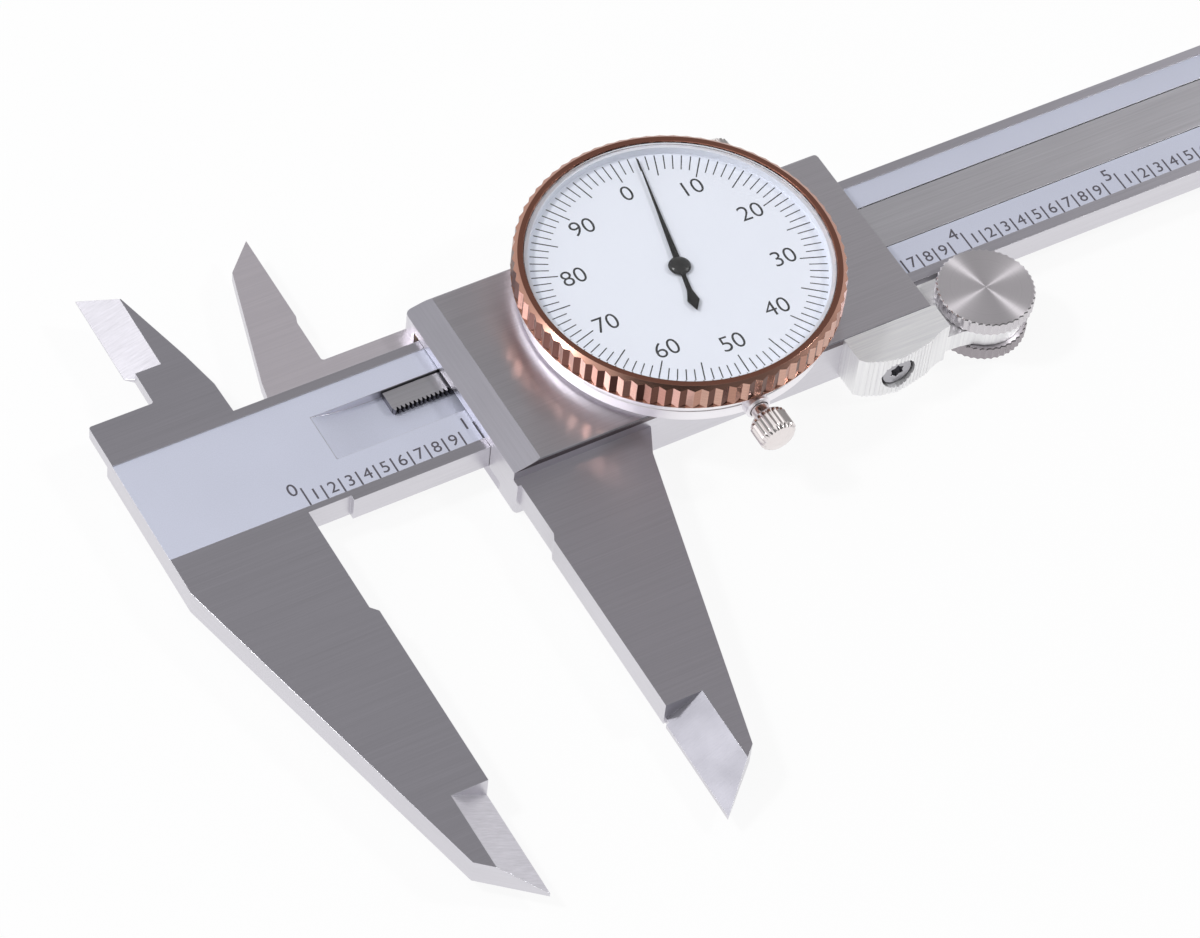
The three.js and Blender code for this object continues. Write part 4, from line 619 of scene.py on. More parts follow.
def lofted(name, sections, materials, sharp=SHARP_ANGLE, ring=False):
    """Joins each section, a closed row of points, to the next. A ring has no ends to close."""
    points = [point for section in sections for point in section]
    count = len(sections[0])
    faces = []
    for here in range(0, len(points) if ring else len(points) - count, count):
        there = (here + count) % len(points)
        for side in range(count):
            after = (side + 1) % count
            faces.append((here + side, there + side, there + after, here + after))
    if not ring:
        order = range(len(points))
        faces += [order[:count], order[:-count - 1:-1]]
    return mesh_piece(name, points, faces, materials, sharp)


# %% The rack with flat-topped teeth
RACK_PITCH = 0.025 * INCH
TIP_SHARE = 0.3
ROOT_SHARE = 0.22
TOOTH_DEPTH = 0.46


def toothed_bar(low, high, teeth):
    root_y = low.y + TOOTH_DEPTH
    half_tip = TIP_SHARE / 2 * RACK_PITCH
    half_root = ROOT_SHARE / 2 * RACK_PITCH
    columns = [(low.x, root_y)]
    for index in range(teeth):
        left = low.x + index * RACK_PITCH
        middle = left + RACK_PITCH / 2
        columns += [(left + half_root, root_y), (middle - half_tip, low.y),
                    (middle + half_tip, low.y), (left + RACK_PITCH - half_root, root_y)]
    columns.append((high.x, root_y))
    sections = [[(x, y, low.z), (x, y, high.z), (x, high.y, high.z), (x, high.y, low.z)]
                for x, y in columns]
    return lofted("toothed_rack", sections, [strip_steel, dark_steel])


rack_low, rack_high = limits("rack")
rack_teeth = round((rack_high.x - rack_low.x) / RACK_PITCH)
rack = toothed_bar(rack_low, rack_high, rack_teeth)
for face in rack.data.polygons:
    # The rack's sides, down in the slot, get painted shade.
    face.material_index = 0 if face.normal.z > LOOKS_UP else 1
link(rack, "beam", "dark_steel", "rack")
print("Rack with", rack_teeth, "teeth")

# %% [markdown]
# ## Turned and fluted pieces
# Bezel, knobs and rollers are all turned, and most have flutes or a straight knurl. One function makes
# them: it walks round the axis, and at each profile point asks how far the surface is cut back at that
# angle. Flutes that fade out into a chamfer then come by themselves. A profile that starts or ends on
# the axis has one point there, so its faces are triangles.

# %% A turned solid with flutes
AXES = {
    "Z": lambda x, y, z: (x, y, z),
    "+Y": lambda x, y, z: (x, z, -y),
    "-Y": lambda x, y, z: (x, -z, y),
}


def turned(name, profile, centre, axis="Z", sides=96, cut=None, materials=(), sharp=SHARP_ANGLE):
    """Turns (radius, height) pairs about an axis. cut(angle, radius, height) gives the radius to use."""
    points = []
    rows = []
    for radius, height in profile:
        first = len(points)
        steps = sides if radius > 0 else 1
        for index in range(steps):
            angle = 2 * math.pi * index / sides
            here = cut(angle, radius, height) if cut and radius > 0 else radius
            points.append((here * math.cos(angle), here * math.sin(angle), height))
        rows.append([first + index % steps for index in range(sides)])
    pairs = list(zip(rows, rows[1:]))
    if profile[0][0] > 0 and profile[-1][0] > 0:
        pairs.append((rows[-1], rows[0]))
    faces = []
    for low, high in pairs:
        for index in range(sides):
            after = (index + 1) % sides
            corners = (low[index], low[after], high[after], high[index])
            faces.append(tuple(dict.fromkeys(corners)))
    placed = [[c + p for c, p in zip(centre, AXES[axis](*point))] for point in points]
    return mesh_piece(name, placed, faces, materials, sharp)


# %% Several meshes as one
def joined(name, *pieces):
    """Several meshes as one object, each keeping its own materials."""
    build = bmesh.new()
    mesh = bpy.data.meshes.new(name)
    for piece in pieces:
        first = len(mesh.materials)
        for material in piece.data.materials:
            mesh.materials.append(material)
        before = len(build.faces)
        build.from_mesh(piece.data)
        build.faces.ensure_lookup_table()
        for face in build.faces[before:]:
            face.material_index += first
    build.to_mesh(mesh)
    build.free()
    mesh.set_sharp_from_angle(angle=SHARP_ANGLE)
    for piece in pieces:
        bpy.data.objects.remove(piece)
    return shown(name, mesh)


# %% [markdown]
# ## Case
# The case is a bright turned cup under the bezel. A step at its foot, a fine groove half way up and the
# rings that the turning tool left are all that breaks its surface. The boss on its side takes the small
# screw that holds the bezel.

# %% The case
DIAL = (DIAL_X, 0.0, slider_face)
DIAL_SIDES = 180
CASE_RADIUS = 21.4
GROOVE_RADIUS = CASE_RADIUS - 0.12
CASE_HEIGHT = 4.1
CASE_INNER = 20.2
CASE_FLOOR = 1.0
CLAMP_X = DIAL_X - 0.5
CLAMP_Z = slider_face + 1.9
BOSS_SIDES = 40
case_steel = metal("case_steel", (246, 243, 247), 0.36, rings=((DIAL_X, centre_y, 0), 2.6),
                   contrast=0.05, depth=0.004)
case = turned("turned_case", [
    (0, 0), (CASE_RADIUS - 0.5, 0), (CASE_RADIUS - 0.42, 0.35), (CASE_RADIUS, 0.55),
    (CASE_RADIUS, 2.2), (GROOVE_RADIUS, 2.28), (GROOVE_RADIUS, 2.42), (CASE_RADIUS, 2.5),
    (CASE_RADIUS, CASE_HEIGHT), (CASE_INNER, CASE_HEIGHT), (CASE_INNER, CASE_FLOOR), (0, CASE_FLOOR),
], DIAL, sides=DIAL_SIDES, materials=[case_steel])
boss = turned("clamp_boss", [
    (1.35, 20.4), (1.8, 20.4), (1.8, 22.45), (1.6, 22.7), (1.35, 22.7),
], (CLAMP_X, 0.0, CLAMP_Z), axis="-Y", sides=BOSS_SIDES, materials=[case_steel])
case = joined("dial_case_dressed", case, boss)
broken_edges(case, 0.06)
link(case, "slider", "case_silver", "dial_case")

# %% [markdown]
# ## Bezel
# The bezel's rim has 75 V-shaped flutes, and a conical chamfer cuts across their tops. On the real ring
# that leaves a scalloped line. Each column of the mesh is a ridge or a valley, and the height at which
# it meets the cone follows from its radius, which draws the scallops. A plain lip closes the flutes below.
# The two sides of each flute are painted in lit and shaded tones of the one copper plating: a fixed row
# of random choices gives the side that looks one way mostly the lit tone and the other side mostly the
# painted shade. The flat top of the rim gets a darker painted shade, and the chamfer a painted tone of
# its own.

# %% The bezel's copper, in painted lit and shaded tones
def plated(name, colour, roughness, wear=0.5):
    return metal(name, colour, roughness, rings=((DIAL_X, centre_y, 0), 3.0), contrast=0.08,
                 depth=0.002, cloud=0.08, wear=wear, reach=0.1)


copper = plated("copper_bezel", (204, 163, 147), 0.2)
copper_half_shade = plated("copper_half_shade", (176, 132, 116), 0.2)
copper_painted_shade = plated("copper_painted_shade", (100, 66, 56), 0.22)
copper_rim_shade = plated("copper_rim", (166, 114, 98), 0.24, wear=0.2)
copper_chamfer_painted_tone = plated("copper_chamfer", (178, 136, 121), 0.2)
BEZEL_FINISHES = [copper, copper_chamfer_painted_tone, copper_rim_shade, copper_half_shade, copper_painted_shade]
FLUTE_SEED = 11
# Painted light and shade: the side of a flute that looks one way mostly gets the lit tone, the other side mostly
# the painted shade.
LIT_SIDE_TONES = (copper, copper, copper, copper_half_shade)
SHADED_SIDE_TONES = (copper_painted_shade, copper_painted_shade, copper_half_shade)
print("Copper tones:", len(BEZEL_FINISHES))

# %% The bezel
BEZEL_FLUTES = 75
BEZEL_RADIUS = 22.45
VALLEY_RADIUS = 22.14
BEZEL_LOW = 4.2
BEZEL_TOP = 8.1
LIP_RADIUS = 22.4
LIP_TOP = BEZEL_LOW + 0.14
CONE_RADIUS = 21.75
CONE_SLOPE = 0.7
GLASS_RADIUS = 20.85
SEAT_RADIUS = 20.95
SEAT_BREAK = 0.1
SKIRT_OUTER = 20.1
SKIRT_INNER = 19.5
SKIRT_LOW = 2.2
FACE_LOW = 5.5
RIM_DEPTH = 0.3
CONE_TILT = 0.3


def fluted_bezel():
    columns = 2 * BEZEL_FLUTES
    sections = []
    for index in range(columns):
        angle = 2 * math.pi * index / columns
        radius = BEZEL_RADIUS if index % 2 == 0 else VALLEY_RADIUS
        meets = BEZEL_TOP - (radius - CONE_RADIUS) * CONE_SLOPE
        ring = [
            (SKIRT_INNER, SKIRT_LOW), (SKIRT_OUTER, SKIRT_LOW), (SKIRT_OUTER, BEZEL_LOW),
            (LIP_RADIUS, BEZEL_LOW), (LIP_RADIUS, LIP_TOP), (radius, LIP_TOP + 0.02), (radius, meets),
            (CONE_RADIUS, BEZEL_TOP), (SEAT_RADIUS + 0.06, BEZEL_TOP),
            (SEAT_RADIUS, BEZEL_TOP - SEAT_BREAK), (SEAT_RADIUS, FACE_LOW), (SKIRT_INNER, FACE_LOW),
        ]
        sections.append([(DIAL_X + r * math.cos(angle), r * math.sin(angle), slider_face + h)
                         for r, h in ring])
    piece = lofted("fluted_bezel", sections, BEZEL_FINISHES, sharp=math.radians(16), ring=True)
    choices = random.Random(FLUTE_SEED)
    # Painted light and shade: each column's tone, mostly lit on one side of a flute and mostly shaded on the
    # other.
    tones = [choices.choice(LIT_SIDE_TONES if index % 2 else SHADED_SIDE_TONES) for index in range(columns)]
    for face in piece.data.polygons:
        finish = tones[face.index // len(ring)]
        place = from_frame(face.center) - Vector(DIAL)
        # The flat top of the rim gets a painted shade, and the chamfer a painted tone of its own.
        if place.z > BEZEL_TOP - RIM_DEPTH and place.to_2d().length < CONE_RADIUS:
            finish = copper_rim_shade
        elif abs(face.normal.z) > CONE_TILT:
            finish = copper_chamfer_painted_tone
        face.material_index = BEZEL_FINISHES.index(finish)
    return piece


bezel = fluted_bezel()
broken_edges(bezel, 0.03, angle=math.radians(24))
link(bezel, "bezel", "copper_bezel", "bezel_ring")

# %% [markdown]
# ## Crystal, spacer and dial
# The crystal is a real disc of glass with two faces, set a little below the rim. To shadow and diffuse
# rays it is simply clear, so the dial under it stays bright. The spacer that holds it off the dial is
# white, and shows as the pale band in which the graduations are mirrored.

# %% Glass and paint
def blended(tree, factor, first, second):
    """Makes the material's surface a blend of two shader nodes."""
    mix = tree.nodes.new("ShaderNodeMixShader")
    for source, socket in zip((factor, first.outputs[0], second.outputs[0]), mix.inputs):
        tree.links.new(source, socket)
    tree.links.new(mix.outputs[0], tree.nodes["Material Output"].inputs["Surface"])


def crystal_glass():
    material, tree, shader = new_material("crystal_glass")
    shader.inputs["Base Color"].default_value = (1, 1, 1, 1)
    shader.inputs["Roughness"].default_value = 0.0
    shader.inputs["IOR"].default_value = 1.3
    shader.inputs["Transmission Weight"].default_value = 1.0
    rays = tree.nodes.new("ShaderNodeLightPath")
    soft = math_node(tree, "MAXIMUM", rays.outputs["Is Shadow Ray"], rays.outputs["Is Diffuse Ray"])
    blended(tree, soft, shader, tree.nodes.new("ShaderNodeBsdfTransparent"))
    return material


PAINT_CLOUD = 5.0
PEEL_GRAIN = (6, 6, 6)
PEEL_DEPTH = 0.001
PEEL_ROUGHNESS = 0.06


def painted(name, colour, roughness, mottle=0.02, specular=0.4):
    """A paint or print: one colour with a barely visible mottle, and a fine orange peel."""
    colour = linear(*colour)
    material, tree, shader = new_material(name)
    shader.inputs["Specular IOR Level"].default_value = specular
    place = place_in_mm(tree)
    clouds = use_group(tree, cloud_group, Place=place, Size_in_mm=PAINT_CLOUD)
    grains = use_group(tree, grain_group, Place=place, Lines_per_mm=PEEL_GRAIN)
    colours = shaded(tree, tone(colour, 1 - mottle), tone(colour, 1 + mottle), clouds.outputs["Cloud"])
    tree.links.new(colours, shader.inputs["Base Color"])
    rough = math_node(tree, "MULTIPLY_ADD", grains.outputs["Streaks"], PEEL_ROUGHNESS, roughness)
    tree.links.new(rough, shader.inputs["Roughness"])
    bumped(tree, shader, grains.outputs["Height"], PEEL_DEPTH)
    return material


# %% The three discs
FACE_TOP = 6.0
FACE_BORE = 0.7
CRYSTAL_LOW = 7.2
CRYSTAL_TOP = 7.95
CRYSTAL_BREAK = 0.1
SPACER_INNER = 20.3
dial_white = painted("dial_white", (231, 235, 246), 0.55, 0.01)
print_black = painted("print_black", (30, 31, 36), 0.6)
spacer_white = painted("spacer_white", (230, 234, 244), 0.35)
DISCS = [
    ("crystal_disc", crystal_glass(), "crystal", "crystal", [
        (0, CRYSTAL_LOW), (GLASS_RADIUS - CRYSTAL_BREAK, CRYSTAL_LOW),
        (GLASS_RADIUS, CRYSTAL_LOW + CRYSTAL_BREAK), (GLASS_RADIUS, CRYSTAL_TOP - CRYSTAL_BREAK),
        (GLASS_RADIUS - CRYSTAL_BREAK, CRYSTAL_TOP), (0, CRYSTAL_TOP),
    ]),
    ("spacer_band", spacer_white, "satin_aluminium", "spacer_ring", [
        (SPACER_INNER, FACE_TOP), (GLASS_RADIUS, FACE_TOP),
        (GLASS_RADIUS, CRYSTAL_LOW), (SPACER_INNER, CRYSTAL_LOW),
    ]),
    ("dial_disc", dial_white, "dial_white", "dial_face", [
        (FACE_BORE, FACE_LOW), (GLASS_RADIUS, FACE_LOW), (GLASS_RADIUS, FACE_TOP), (FACE_BORE, FACE_TOP),
    ]),
]
for name, material, slot_name, node, profile in DISCS:
    disc = turned(name, profile, DIAL, sides=DIAL_SIDES, materials=[material])
    link(disc, "bezel", slot_name, node)

# %% [markdown]
# ## Printing and etching
# Graduations are thin raised strokes, one mesh for each scale. Numerals are plain sans figures from
# Blender's own font, made a little thinner or bolder by an offset, turned into a mesh and laid on the
# surface.

# %% Strokes and numerals
INK = 0.015
CURVE_STEPS = 6


class Print:
    """Collects strokes and numerals that lie on one surface."""

    def __init__(self, name, material):
        self.name = name
        self.material = material
        self.build = bmesh.new()

    def stroke(self, start, end, width, height):
        """A thin bar from start to end, each (x, y), standing on the given height."""
        a = Vector(start)
        b = Vector(end)
        side = (b - a).normalized().orthogonal() * width / 2
        outline = [a + side, a - side, b - side, b + side]
        low = [self.build.verts.new(at(p.x, p.y, height - INK)) for p in outline]
        high = [self.build.verts.new(at(p.x, p.y, height + INK)) for p in outline]
        self.build.faces.new(high)
        self.build.faces.new(low[::-1])
        for index in range(4):
            after = (index + 1) % 4
            self.build.faces.new((low[index], low[after], high[after], high[index]))

    def text(self, words, size, centre, height, angle=0.0, thin=0.0):
        """A number centred on (x, y). thin is a share of its size."""
        curve = bpy.data.curves.new("figure", "FONT")
        curve.body = words
        curve.size = size * MM
        curve.align_x = "CENTER"
        curve.align_y = "CENTER"
        curve.offset = -thin * size * MM
        curve.extrude = INK * MM
        curve.resolution_u = CURVE_STEPS
        figure = shown("figure", curve)
        bpy.context.view_layer.update()
        evaluated = figure.evaluated_get(bpy.context.evaluated_depsgraph_get())
        mesh = bpy.data.meshes.new_from_object(evaluated)
        mesh.transform(Matrix.Translation(at(*centre, height)) @ Matrix.Rotation(angle, 4, "Z"))
        self.build.from_mesh(mesh)
        bpy.data.objects.remove(figure)
        bpy.data.meshes.remove(mesh)

    def piece(self):
        mesh = bpy.data.meshes.new(self.name)
        bmesh.ops.recalc_face_normals(self.build, faces=self.build.faces)
        self.build.to_mesh(mesh)
        self.build.free()
        mesh.materials.append(self.material)
        return shown(self.name, mesh)


# %% [markdown]
# ## The dial's scale
# The dial has a hundred divisions of a thousandth of an inch, with a longer tick at every fifth and a
# number at every tenth. It was a little turned when the picture was taken, so zero isn't quite at the
# top, and all the numerals stand straight in the same way.

# %% The dial's scale
ZERO_ANGLE = 88.0
DIVISIONS = 100
DIVISION_ANGLE = 360 / DIVISIONS
TICK_OUTER = 20.0
SHORT_TICK = (2.5, 0.15)
LONG_TICK = (3.6, 0.17)
LABEL_RADIUS = 14.3
LABEL_SHIFT = 1.5
FIGURE_SIZE = 3.7
FIGURE_THINNING = 0.007
face_height = slider_face + FACE_TOP
face_turn = math.radians(ZERO_ANGLE - 90)


def around_dial(radius, degrees):
    angle = math.radians(degrees)
    return DIAL_X + radius * math.cos(angle), radius * math.sin(angle)


dial_print = Print("dial_scale", print_black)
for division in range(DIVISIONS):
    degrees = ZERO_ANGLE - DIVISION_ANGLE * division
    length, width = SHORT_TICK if division % 5 else LONG_TICK
    dial_print.stroke(around_dial(TICK_OUTER - length, degrees), around_dial(TICK_OUTER, degrees),
                      width, face_height)
for label in range(0, DIVISIONS, 10):
    place = around_dial(LABEL_RADIUS, ZERO_ANGLE - DIVISION_ANGLE * label + LABEL_SHIFT)
    dial_print.text(str(label), FIGURE_SIZE, place, face_height, face_turn, thin=FIGURE_THINNING)
link(dial_print.piece(), "bezel", "dial_white")

# %% [markdown]
# ## The beam's scale
# The beam has ten graduations to the inch. Each figure stands to the left of its own tick. Inch figures
# are larger and sit higher, above the longer inch tick.

# %% The beam's graduations
TENTH = INCH / 10
SCALE_INCHES = 12
BAND_BOTTOM = -8.3
BAND_TOP = -0.15
TICK_WIDTH = 0.24
FIGURE_BOLDING = -0.001
# A mark is its tick's length, its figure's size, and how far left of and above the tick's foot that is.
INCH_MARK = (3.15, 2.85, 1.15, 3.2)
TENTH_MARK = (2.45, 2.6, 1.2, 1.4)
etch_grey = painted("etched_grey", (86, 83, 92), 0.6)
beam_print = Print("beam_scale", etch_grey)
for tenth in range(10 * SCALE_INCHES + 1):
    x = tenth * TENTH
    inches, rest = divmod(tenth, 10)
    tick, size, left, rise = TENTH_MARK if rest else INCH_MARK
    beam_print.stroke((x, BAND_BOTTOM), (x, BAND_BOTTOM + tick), TICK_WIDTH, BAND_TOP)
    beam_print.text(str(rest or inches), size, (x - left, BAND_BOTTOM + rise), BAND_TOP,
                    thin=FIGURE_BOLDING)
link(beam_print.piece(), "beam", "dark_steel")
print("Beam scale of", SCALE_INCHES, "inches")

# %% [markdown]
# ## Pointer
# A flat needle that tapers to a hair, with a diamond tail and a domed hub. It is narrow, so a slight
# ridge down its middle is what gives it light and dark sides.

# %% The pointer
pointer_black = painted("pointer_black", (10, 10, 12), 0.35, specular=0.12)
hub_black = painted("hub_black", (10, 10, 12), 0.2, specular=0.3)
POINTER_HEIGHT = slider_face + 6.35
POINTER_READS = 3
NEEDLE_EDGE = 0.14
NEEDLE_RIDGE = 0.24
NEEDLE = [(19.3, 0.05), (10.0, 0.2), (1.2, 0.45), (-2.0, 0.3), (-4.4, 0.36), (-6.2, 0.85), (-7.8, 0.06)]
pointer_angle = math.radians(ZERO_ANGLE - DIVISION_ANGLE * POINTER_READS)


def needle_point(along, side, height):
    x = along * math.cos(pointer_angle) - side * math.sin(pointer_angle)
    y = along * math.sin(pointer_angle) + side * math.cos(pointer_angle)
    return DIAL_X + x, y, POINTER_HEIGHT + height


sections = []
for along, half in NEEDLE:
    ridge = ((-half, 0.0), (-half, NEEDLE_EDGE), (0.0, NEEDLE_RIDGE), (half, NEEDLE_EDGE), (half, 0.0))
    sections.append([needle_point(along, side, height) for side, height in ridge])
needle = lofted("pointer_needle", sections, [pointer_black], sharp=math.radians(12))
hub = turned("pointer_hub", [
    (0, -0.1), (1.5, -0.1), (1.55, 0.0), (1.52, 0.12), (1.4, 0.26), (1.2, 0.38), (0.95, 0.47),
    (0.7, 0.52), (0.55, 0.53), (0.48, 0.46), (0.34, 0.45), (0.28, 0.53), (0, 0.55),
], (DIAL_X, 0.0, POINTER_HEIGHT), sides=64, materials=[hub_black])
pointer = joined("pointer_dressed", needle, hub)
link(pointer, "pointer", "pointer_black", "pointer")

# %% [markdown]
# ## Knobs
# Both knobs are nickel plated with a straight knurl. The knurl is a row of rounded ridges: the radius
# follows a cosine that is sharpened a little, and fades out where the end is chamfered.

# %% Knurled knobs
KNURL_RIDGES = 24
KNURL_DEPTH = 0.24
KNURL_FADE = 0.35
KNURL_SHARPNESS = 0.7
SIDES_PER_RIDGE = 8
LOCK_X = opening + 53.3
LOCK_Z = -2.0
nickel = metal("nickel", (234, 227, 226), 0.12, (1, 1, 1), contrast=0.04, depth=0.001, cloud=0.04,
               wear=0.6, reach=0.12)


def knurl(count, depth, low, high, core=0.0):
    """A cut for turned(): ridges between two heights, on what lies outside the core's radius."""
    def cut(angle, radius, height):
        inside = min(1.0, max(0.0, min(height - low, high - height) / KNURL_FADE))
        wave = 0.5 - 0.5 * math.cos(count * angle)
        return radius - depth * inside * wave ** KNURL_SHARPNESS if radius > core else radius
    return cut


def knob(name, node, profile, centre, axis, low, high, core):
    piece = turned(name, profile, centre, axis=axis, sides=SIDES_PER_RIDGE * KNURL_RIDGES,
                   materials=[nickel], cut=knurl(KNURL_RIDGES, KNURL_DEPTH, low, high, core))
    link(piece, node, "nickel", node)


lock_low, lock_high = (corner.y for corner in limits("lock_screw"))
lock_start = limits("back_plate")[1].y + 3.4
knob("lock_knob", "lock_screw", [
    (0, lock_low), (1.4, lock_low), (1.4, lock_start - 0.3), (2.2, lock_start - 0.2), (2.45, lock_start),
    (2.9, lock_start + 0.45), (2.9, lock_start + 0.8), (2.9, lock_start + 3.5),
    (2.9, lock_high - 1.1), (2.9, lock_high - 0.75), (2.35, lock_high - 0.3), (2.1, lock_high - 0.22),
    (1.2, lock_high - 0.06), (0, lock_high),
], (LOCK_X, 0.0, LOCK_Z), "+Y", low=lock_start + 0.1, high=lock_high - 0.4, core=2.3)

clamp_high, clamp_low = (-corner.y for corner in limits("clamp_screw"))
clamp_start = clamp_high - 4.1
knob("clamp_knob", "clamp_screw", [
    (0, clamp_low), (1.25, clamp_low), (1.25, clamp_start - 0.2), (1.9, clamp_start - 0.15),
    (2.15, clamp_start), (2.65, clamp_start + 0.5), (2.65, clamp_start + 0.9), (2.65, clamp_start + 2.2),
    (2.65, clamp_high - 1.2), (2.65, clamp_high - 0.85), (2.15, clamp_high - 0.35),
    (1.9, clamp_high - 0.25), (1.1, clamp_high - 0.06), (0, clamp_high),
], (CLAMP_X, 0.0, CLAMP_Z), "-Y", low=clamp_start + 0.1, high=clamp_high - 0.5, core=2.1)

# %% [markdown]
# ## Thumb roller
# Two steel discs on one axle, above and below the bracket's tongue. The lower one rolls on the beam's
# edge. Their faces were turned on a lathe, so each lamp draws a bright line from the centre outward, and
# two lamps make a cross. The rims carry a straight knurl that cuts through the chamfer.

# %% The roller
ROLLER_RIDGES = 44
RIDGE_DEPTH = 0.18
CHAMFER = 0.14
FACE_TILT = 0.97
spun_steel = metal("spun_steel", (232, 227, 232), 0.34, contrast=0.03, depth=0.0006, cloud=0.02,
                   rings=((ROLLER_X, ROLLER_Y + centre_y, 0), 6.0), anisotropic=0.93, across="outward")
RIM = {"grain": (1, 1, 0.2), "contrast": 0.05, "depth": 0.001, "reach": 0.12}
rim_steel = metal("rim_steel", (206, 202, 206), 0.18, wear=0.6, **RIM)
# The lower disc's rim is a darker copy of the rim steel, painted shade.
shaded_low_rim_steel = metal("shaded_low_rim_steel", (160, 154, 158), 0.24, wear=0.4, **RIM)


def roller_disc(name, node, rim):
    low, high = limits(node)
    radius = (high.x - low.x) / 2
    profile = [
        (0, low.z), (radius - CHAMFER, low.z), (radius, low.z + CHAMFER),
        (radius, high.z - CHAMFER), (radius - CHAMFER, high.z), (0, high.z),
    ]
    through = knurl(ROLLER_RIDGES, RIDGE_DEPTH, low.z - 1, high.z + 1)
    disc = turned(name, profile, (ROLLER_X, ROLLER_Y, 0.0), sides=SIDES_PER_RIDGE * ROLLER_RIDGES,
                  materials=[rim, spun_steel], sharp=math.radians(25), cut=through)
    for face in disc.data.polygons:
        if abs(face.normal.z) > FACE_TILT:
            face.material_index = 1
    return disc


for node, rim in (("roller_top", rim_steel), ("roller_bottom", shaded_low_rim_steel)):
    link(roller_disc(node + "_dressed", node, rim), "roller", "roller_steel", node)

# %% [markdown]
# ## Thumb bracket and screws
# The bracket is satin aluminium, drawn, so its top has a fine straight grain and its curved front has
# ribs for the thumb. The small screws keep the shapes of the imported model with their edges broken.

# %% Bracket and fasteners
aluminium = metal("satin_aluminium", (246, 245, 250), 0.58, (0.08, 2.6, 0.3), contrast=0.13,
                  depth=0.014, anisotropic=0.3, across=ACROSS_Y)
ribbed_aluminium = metal("ribbed_aluminium", (253, 252, 255), 0.5, (2.0, 2.0, 0.03), contrast=0.16,
                         depth=0.06)
SCREW_EDGES = {"bracket_screw": 0.06, "end_stop_screw": 0.06, "roller_axle": 0.1}


def bracket_finish(centre, normal):
    return aluminium if normal.z > LOOKS_UP else ribbed_aluminium


dressed("thumb_bracket", bracket_finish, edge=0.14)
for index in range(1, 5):
    dressed("back_plate_screw_%d" % index, screw_steel, edge=0.05)
for node, edge in SCREW_EDGES.items():
    dressed(node, screw_steel, edge=edge)

# %% [markdown]
# ## Pieces inside
# Gears, arbors and the rest of the movement can't be seen with the dial on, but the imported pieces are
# there. Each still gets the metal it is made of, in its own material slot.

# %% Inner finishes
INNER = {"grain": (3, 3, 3), "contrast": 0.05, "depth": 0.002}
inner_brass = metal("movement_brass", (206, 174, 112), 0.3, **INNER)
inner_steel = metal("movement_steel", (168, 167, 172), 0.3, **INNER)
BRASS_NODES = ["bridge_plate", "pinion_bush", "main_wheel", "backlash_wheel", "lock_pad", "clamp_pad"]
inner = {name: node for name, node in frame["nodes"].items() if not node.hide_render}
for name, node in inner.items():
    node.data.materials.clear()
    node.data.materials.append(inner_brass if name in BRASS_NODES else inner_steel)
print("Pieces inside:", len(inner))

# %% [markdown]
# ## Floor
# The floor is white paper. The camera, mirrors and glass see it as an even white, through a Light Path
# node, and what they see of its own shading is the small share that holds the soft shadow.

# %% The floor
FLOOR_SIZE = 4.0
FLOOR_GAP = 0.2
FLOOR_GLOW = 0.9
half = FLOOR_SIZE / 2
floor_z = cad_low.z - FLOOR_GAP * MM
floor_mesh = bpy.data.meshes.new("studio_floor")
floor_mesh.from_pydata([(-half, -half, floor_z), (half, -half, floor_z), (half, half, floor_z),
                        (-half, half, floor_z)], [], [(0, 1, 2, 3)])
floor_object = shown("studio_floor", floor_mesh)
floor_material, tree, paper = new_material("studio_floor")
paper.inputs["Base Color"].default_value = (0.9, 0.9, 0.91, 1)
paper.inputs["Roughness"].default_value = 0.9
paper.inputs["Specular IOR Level"].default_value = 0.1
glow = tree.nodes.new("ShaderNodeEmission")
glow.inputs["Strength"].default_value = 1.0
rays = tree.nodes.new("ShaderNodeLightPath")
mirrored = math_node(tree, "MAXIMUM", rays.outputs["Is Glossy Ray"], rays.outputs["Is Transmission Ray"])
looked_at = math_node(tree, "MAXIMUM", rays.outputs["Is Camera Ray"], mirrored)
blended(tree, math_node(tree, "MULTIPLY", looked_at, FLOOR_GLOW), paper, glow)
floor_mesh.materials.append(floor_material)
print("Floor", FLOOR_GAP, "mm under the lowest point")

# %% [markdown]
# ## World
# The world is what the metal mirrors. A photographer hangs a grey card where flat steel would mirror the
# lights into the lens, and keeps the sides bright, so flat faces come out mid grey while the walls, which
# also get a painted lit tone, and the knurls shine. Here that card is a soft patch in the sky, round the
# direction in which a flat face mirrors the view. A second patch is the unlit room in front, which steps
# and chamfers on that side mirror, and a third the photographer, who shows as the dark side of each
# flute together with the shade painted there.

# %% The world
MIRROR_WAY = Vector((CAMERA_FORWARD.x, CAMERA_FORWARD.y, -CAMERA_FORWARD.z)).normalized()
ROOM_WAY = Vector((0.42, -0.8, 0.42)).normalized()


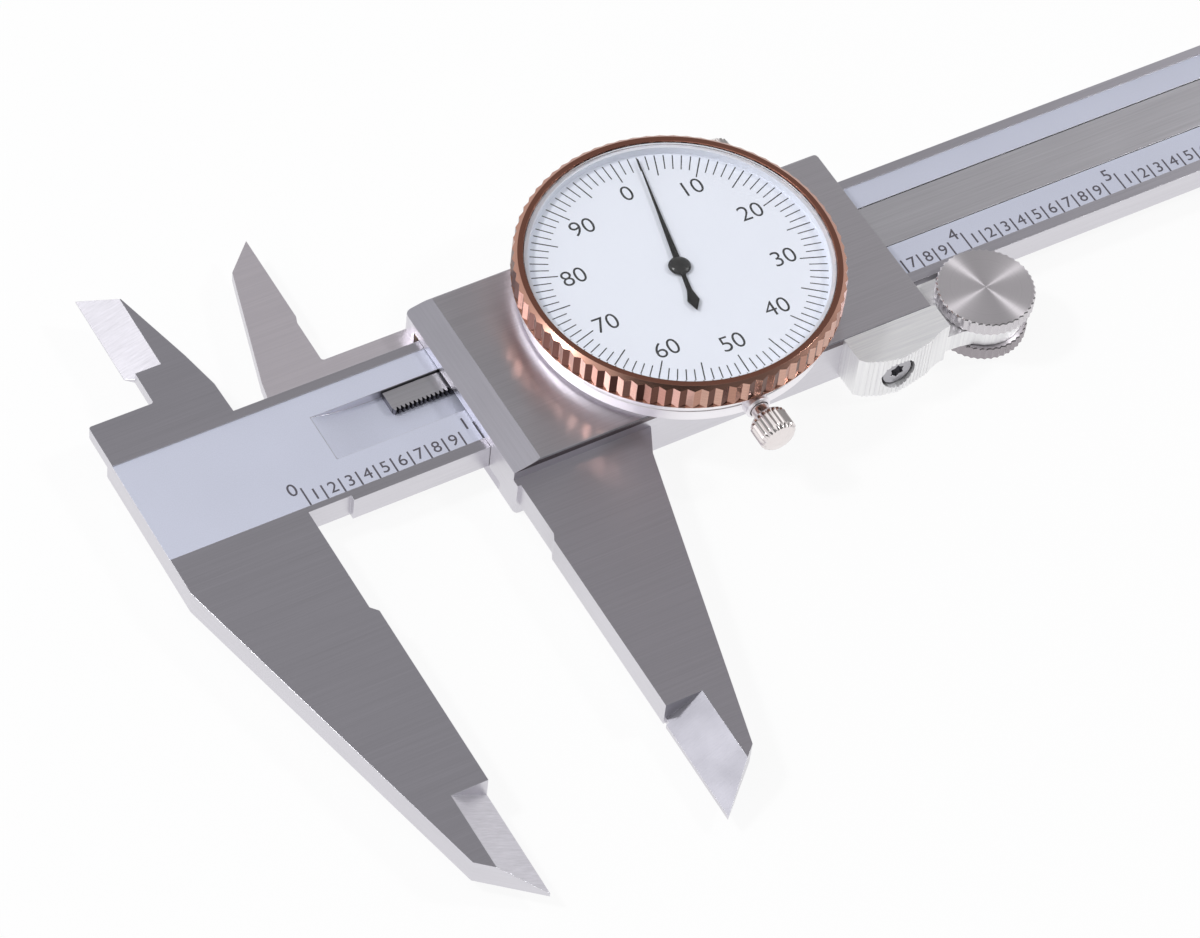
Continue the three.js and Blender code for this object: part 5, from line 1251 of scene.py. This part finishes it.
def soft_card(tree, generated, way, edge, core, grey):
    """Brightness 1 all round, sinking to grey within a cone round a direction. edge and core are cosines."""
    card = tree.nodes.new("ShaderNodeMapRange")
    card.interpolation_type = "SMOOTHSTEP"
    toward = vector_node(tree, "DOT_PRODUCT", generated, way)
    tree.links.new(toward, card.inputs["Value"])
    for label, value in (("From Min", edge), ("From Max", core), ("To Min", 1.0), ("To Max", grey)):
        card.inputs[label].default_value = value
    return card.outputs["Result"]


world = bpy.data.worlds.new("studio")
bpy.context.scene.world = world
world.use_nodes = True
tree = world.node_tree
background = tree.nodes["Background"]
generated = tree.nodes.new("ShaderNodeTexCoord").outputs["Generated"]
grey_card = soft_card(tree, generated, MIRROR_WAY, edge=0.68, core=0.93, grey=0.33)
dark_room = soft_card(tree, generated, ROOM_WAY, edge=0.55, core=0.85, grey=0.22)
photographer = soft_card(tree, generated, -CAMERA_FORWARD, edge=0.9, core=0.965, grey=0.08)
studio = math_node(tree, "MULTIPLY", math_node(tree, "MULTIPLY", grey_card, dark_room), photographer)
rays = tree.nodes.new("ShaderNodeLightPath")
looked_at = math_node(tree, "MAXIMUM", rays.outputs["Is Camera Ray"], rays.outputs["Is Transmission Ray"])
tree.links.new(math_node(tree, "MAXIMUM", studio, looked_at), background.inputs["Strength"])
background.inputs["Color"].default_value = (1, 1, 1, 1)
print("World with", len(tree.nodes), "nodes")

# %% [markdown]
# ## Lamps
# Two small soft lamps, left and right, give the roller its cross and the edges their bright lines. They
# are weak next to the world, so a colour comes out about as it is written.

# %% The lamps
KEY_WAY = Vector((-0.61, 0.27, 0.74))
FILL_WAY = Vector((0.64, -0.24, 0.73))
KEY_POWER = 4
FILL_POWER = 2.8
LAMP_DISTANCE = 1.1
LAMP_SIZE = 0.14
MIDDLE = at(120, 0, 0)


def soft_lamp(name, way, power):
    lamp_data = bpy.data.lights.new(name, "AREA")
    lamp_data.shape = "DISK"
    lamp_data.size = LAMP_SIZE
    lamp_data.energy = power
    lamp = shown(name, lamp_data)
    lamp.location = MIDDLE + LAMP_DISTANCE * way
    lamp.rotation_euler = (-way).to_track_quat("-Z", "Y").to_euler()
    print("Lamp:", name, power, "W")


soft_lamp("key_lamp", KEY_WAY, KEY_POWER)
soft_lamp("fill_lamp", FILL_WAY, FILL_POWER)
bpy.context.scene.view_settings.view_transform = "Standard"
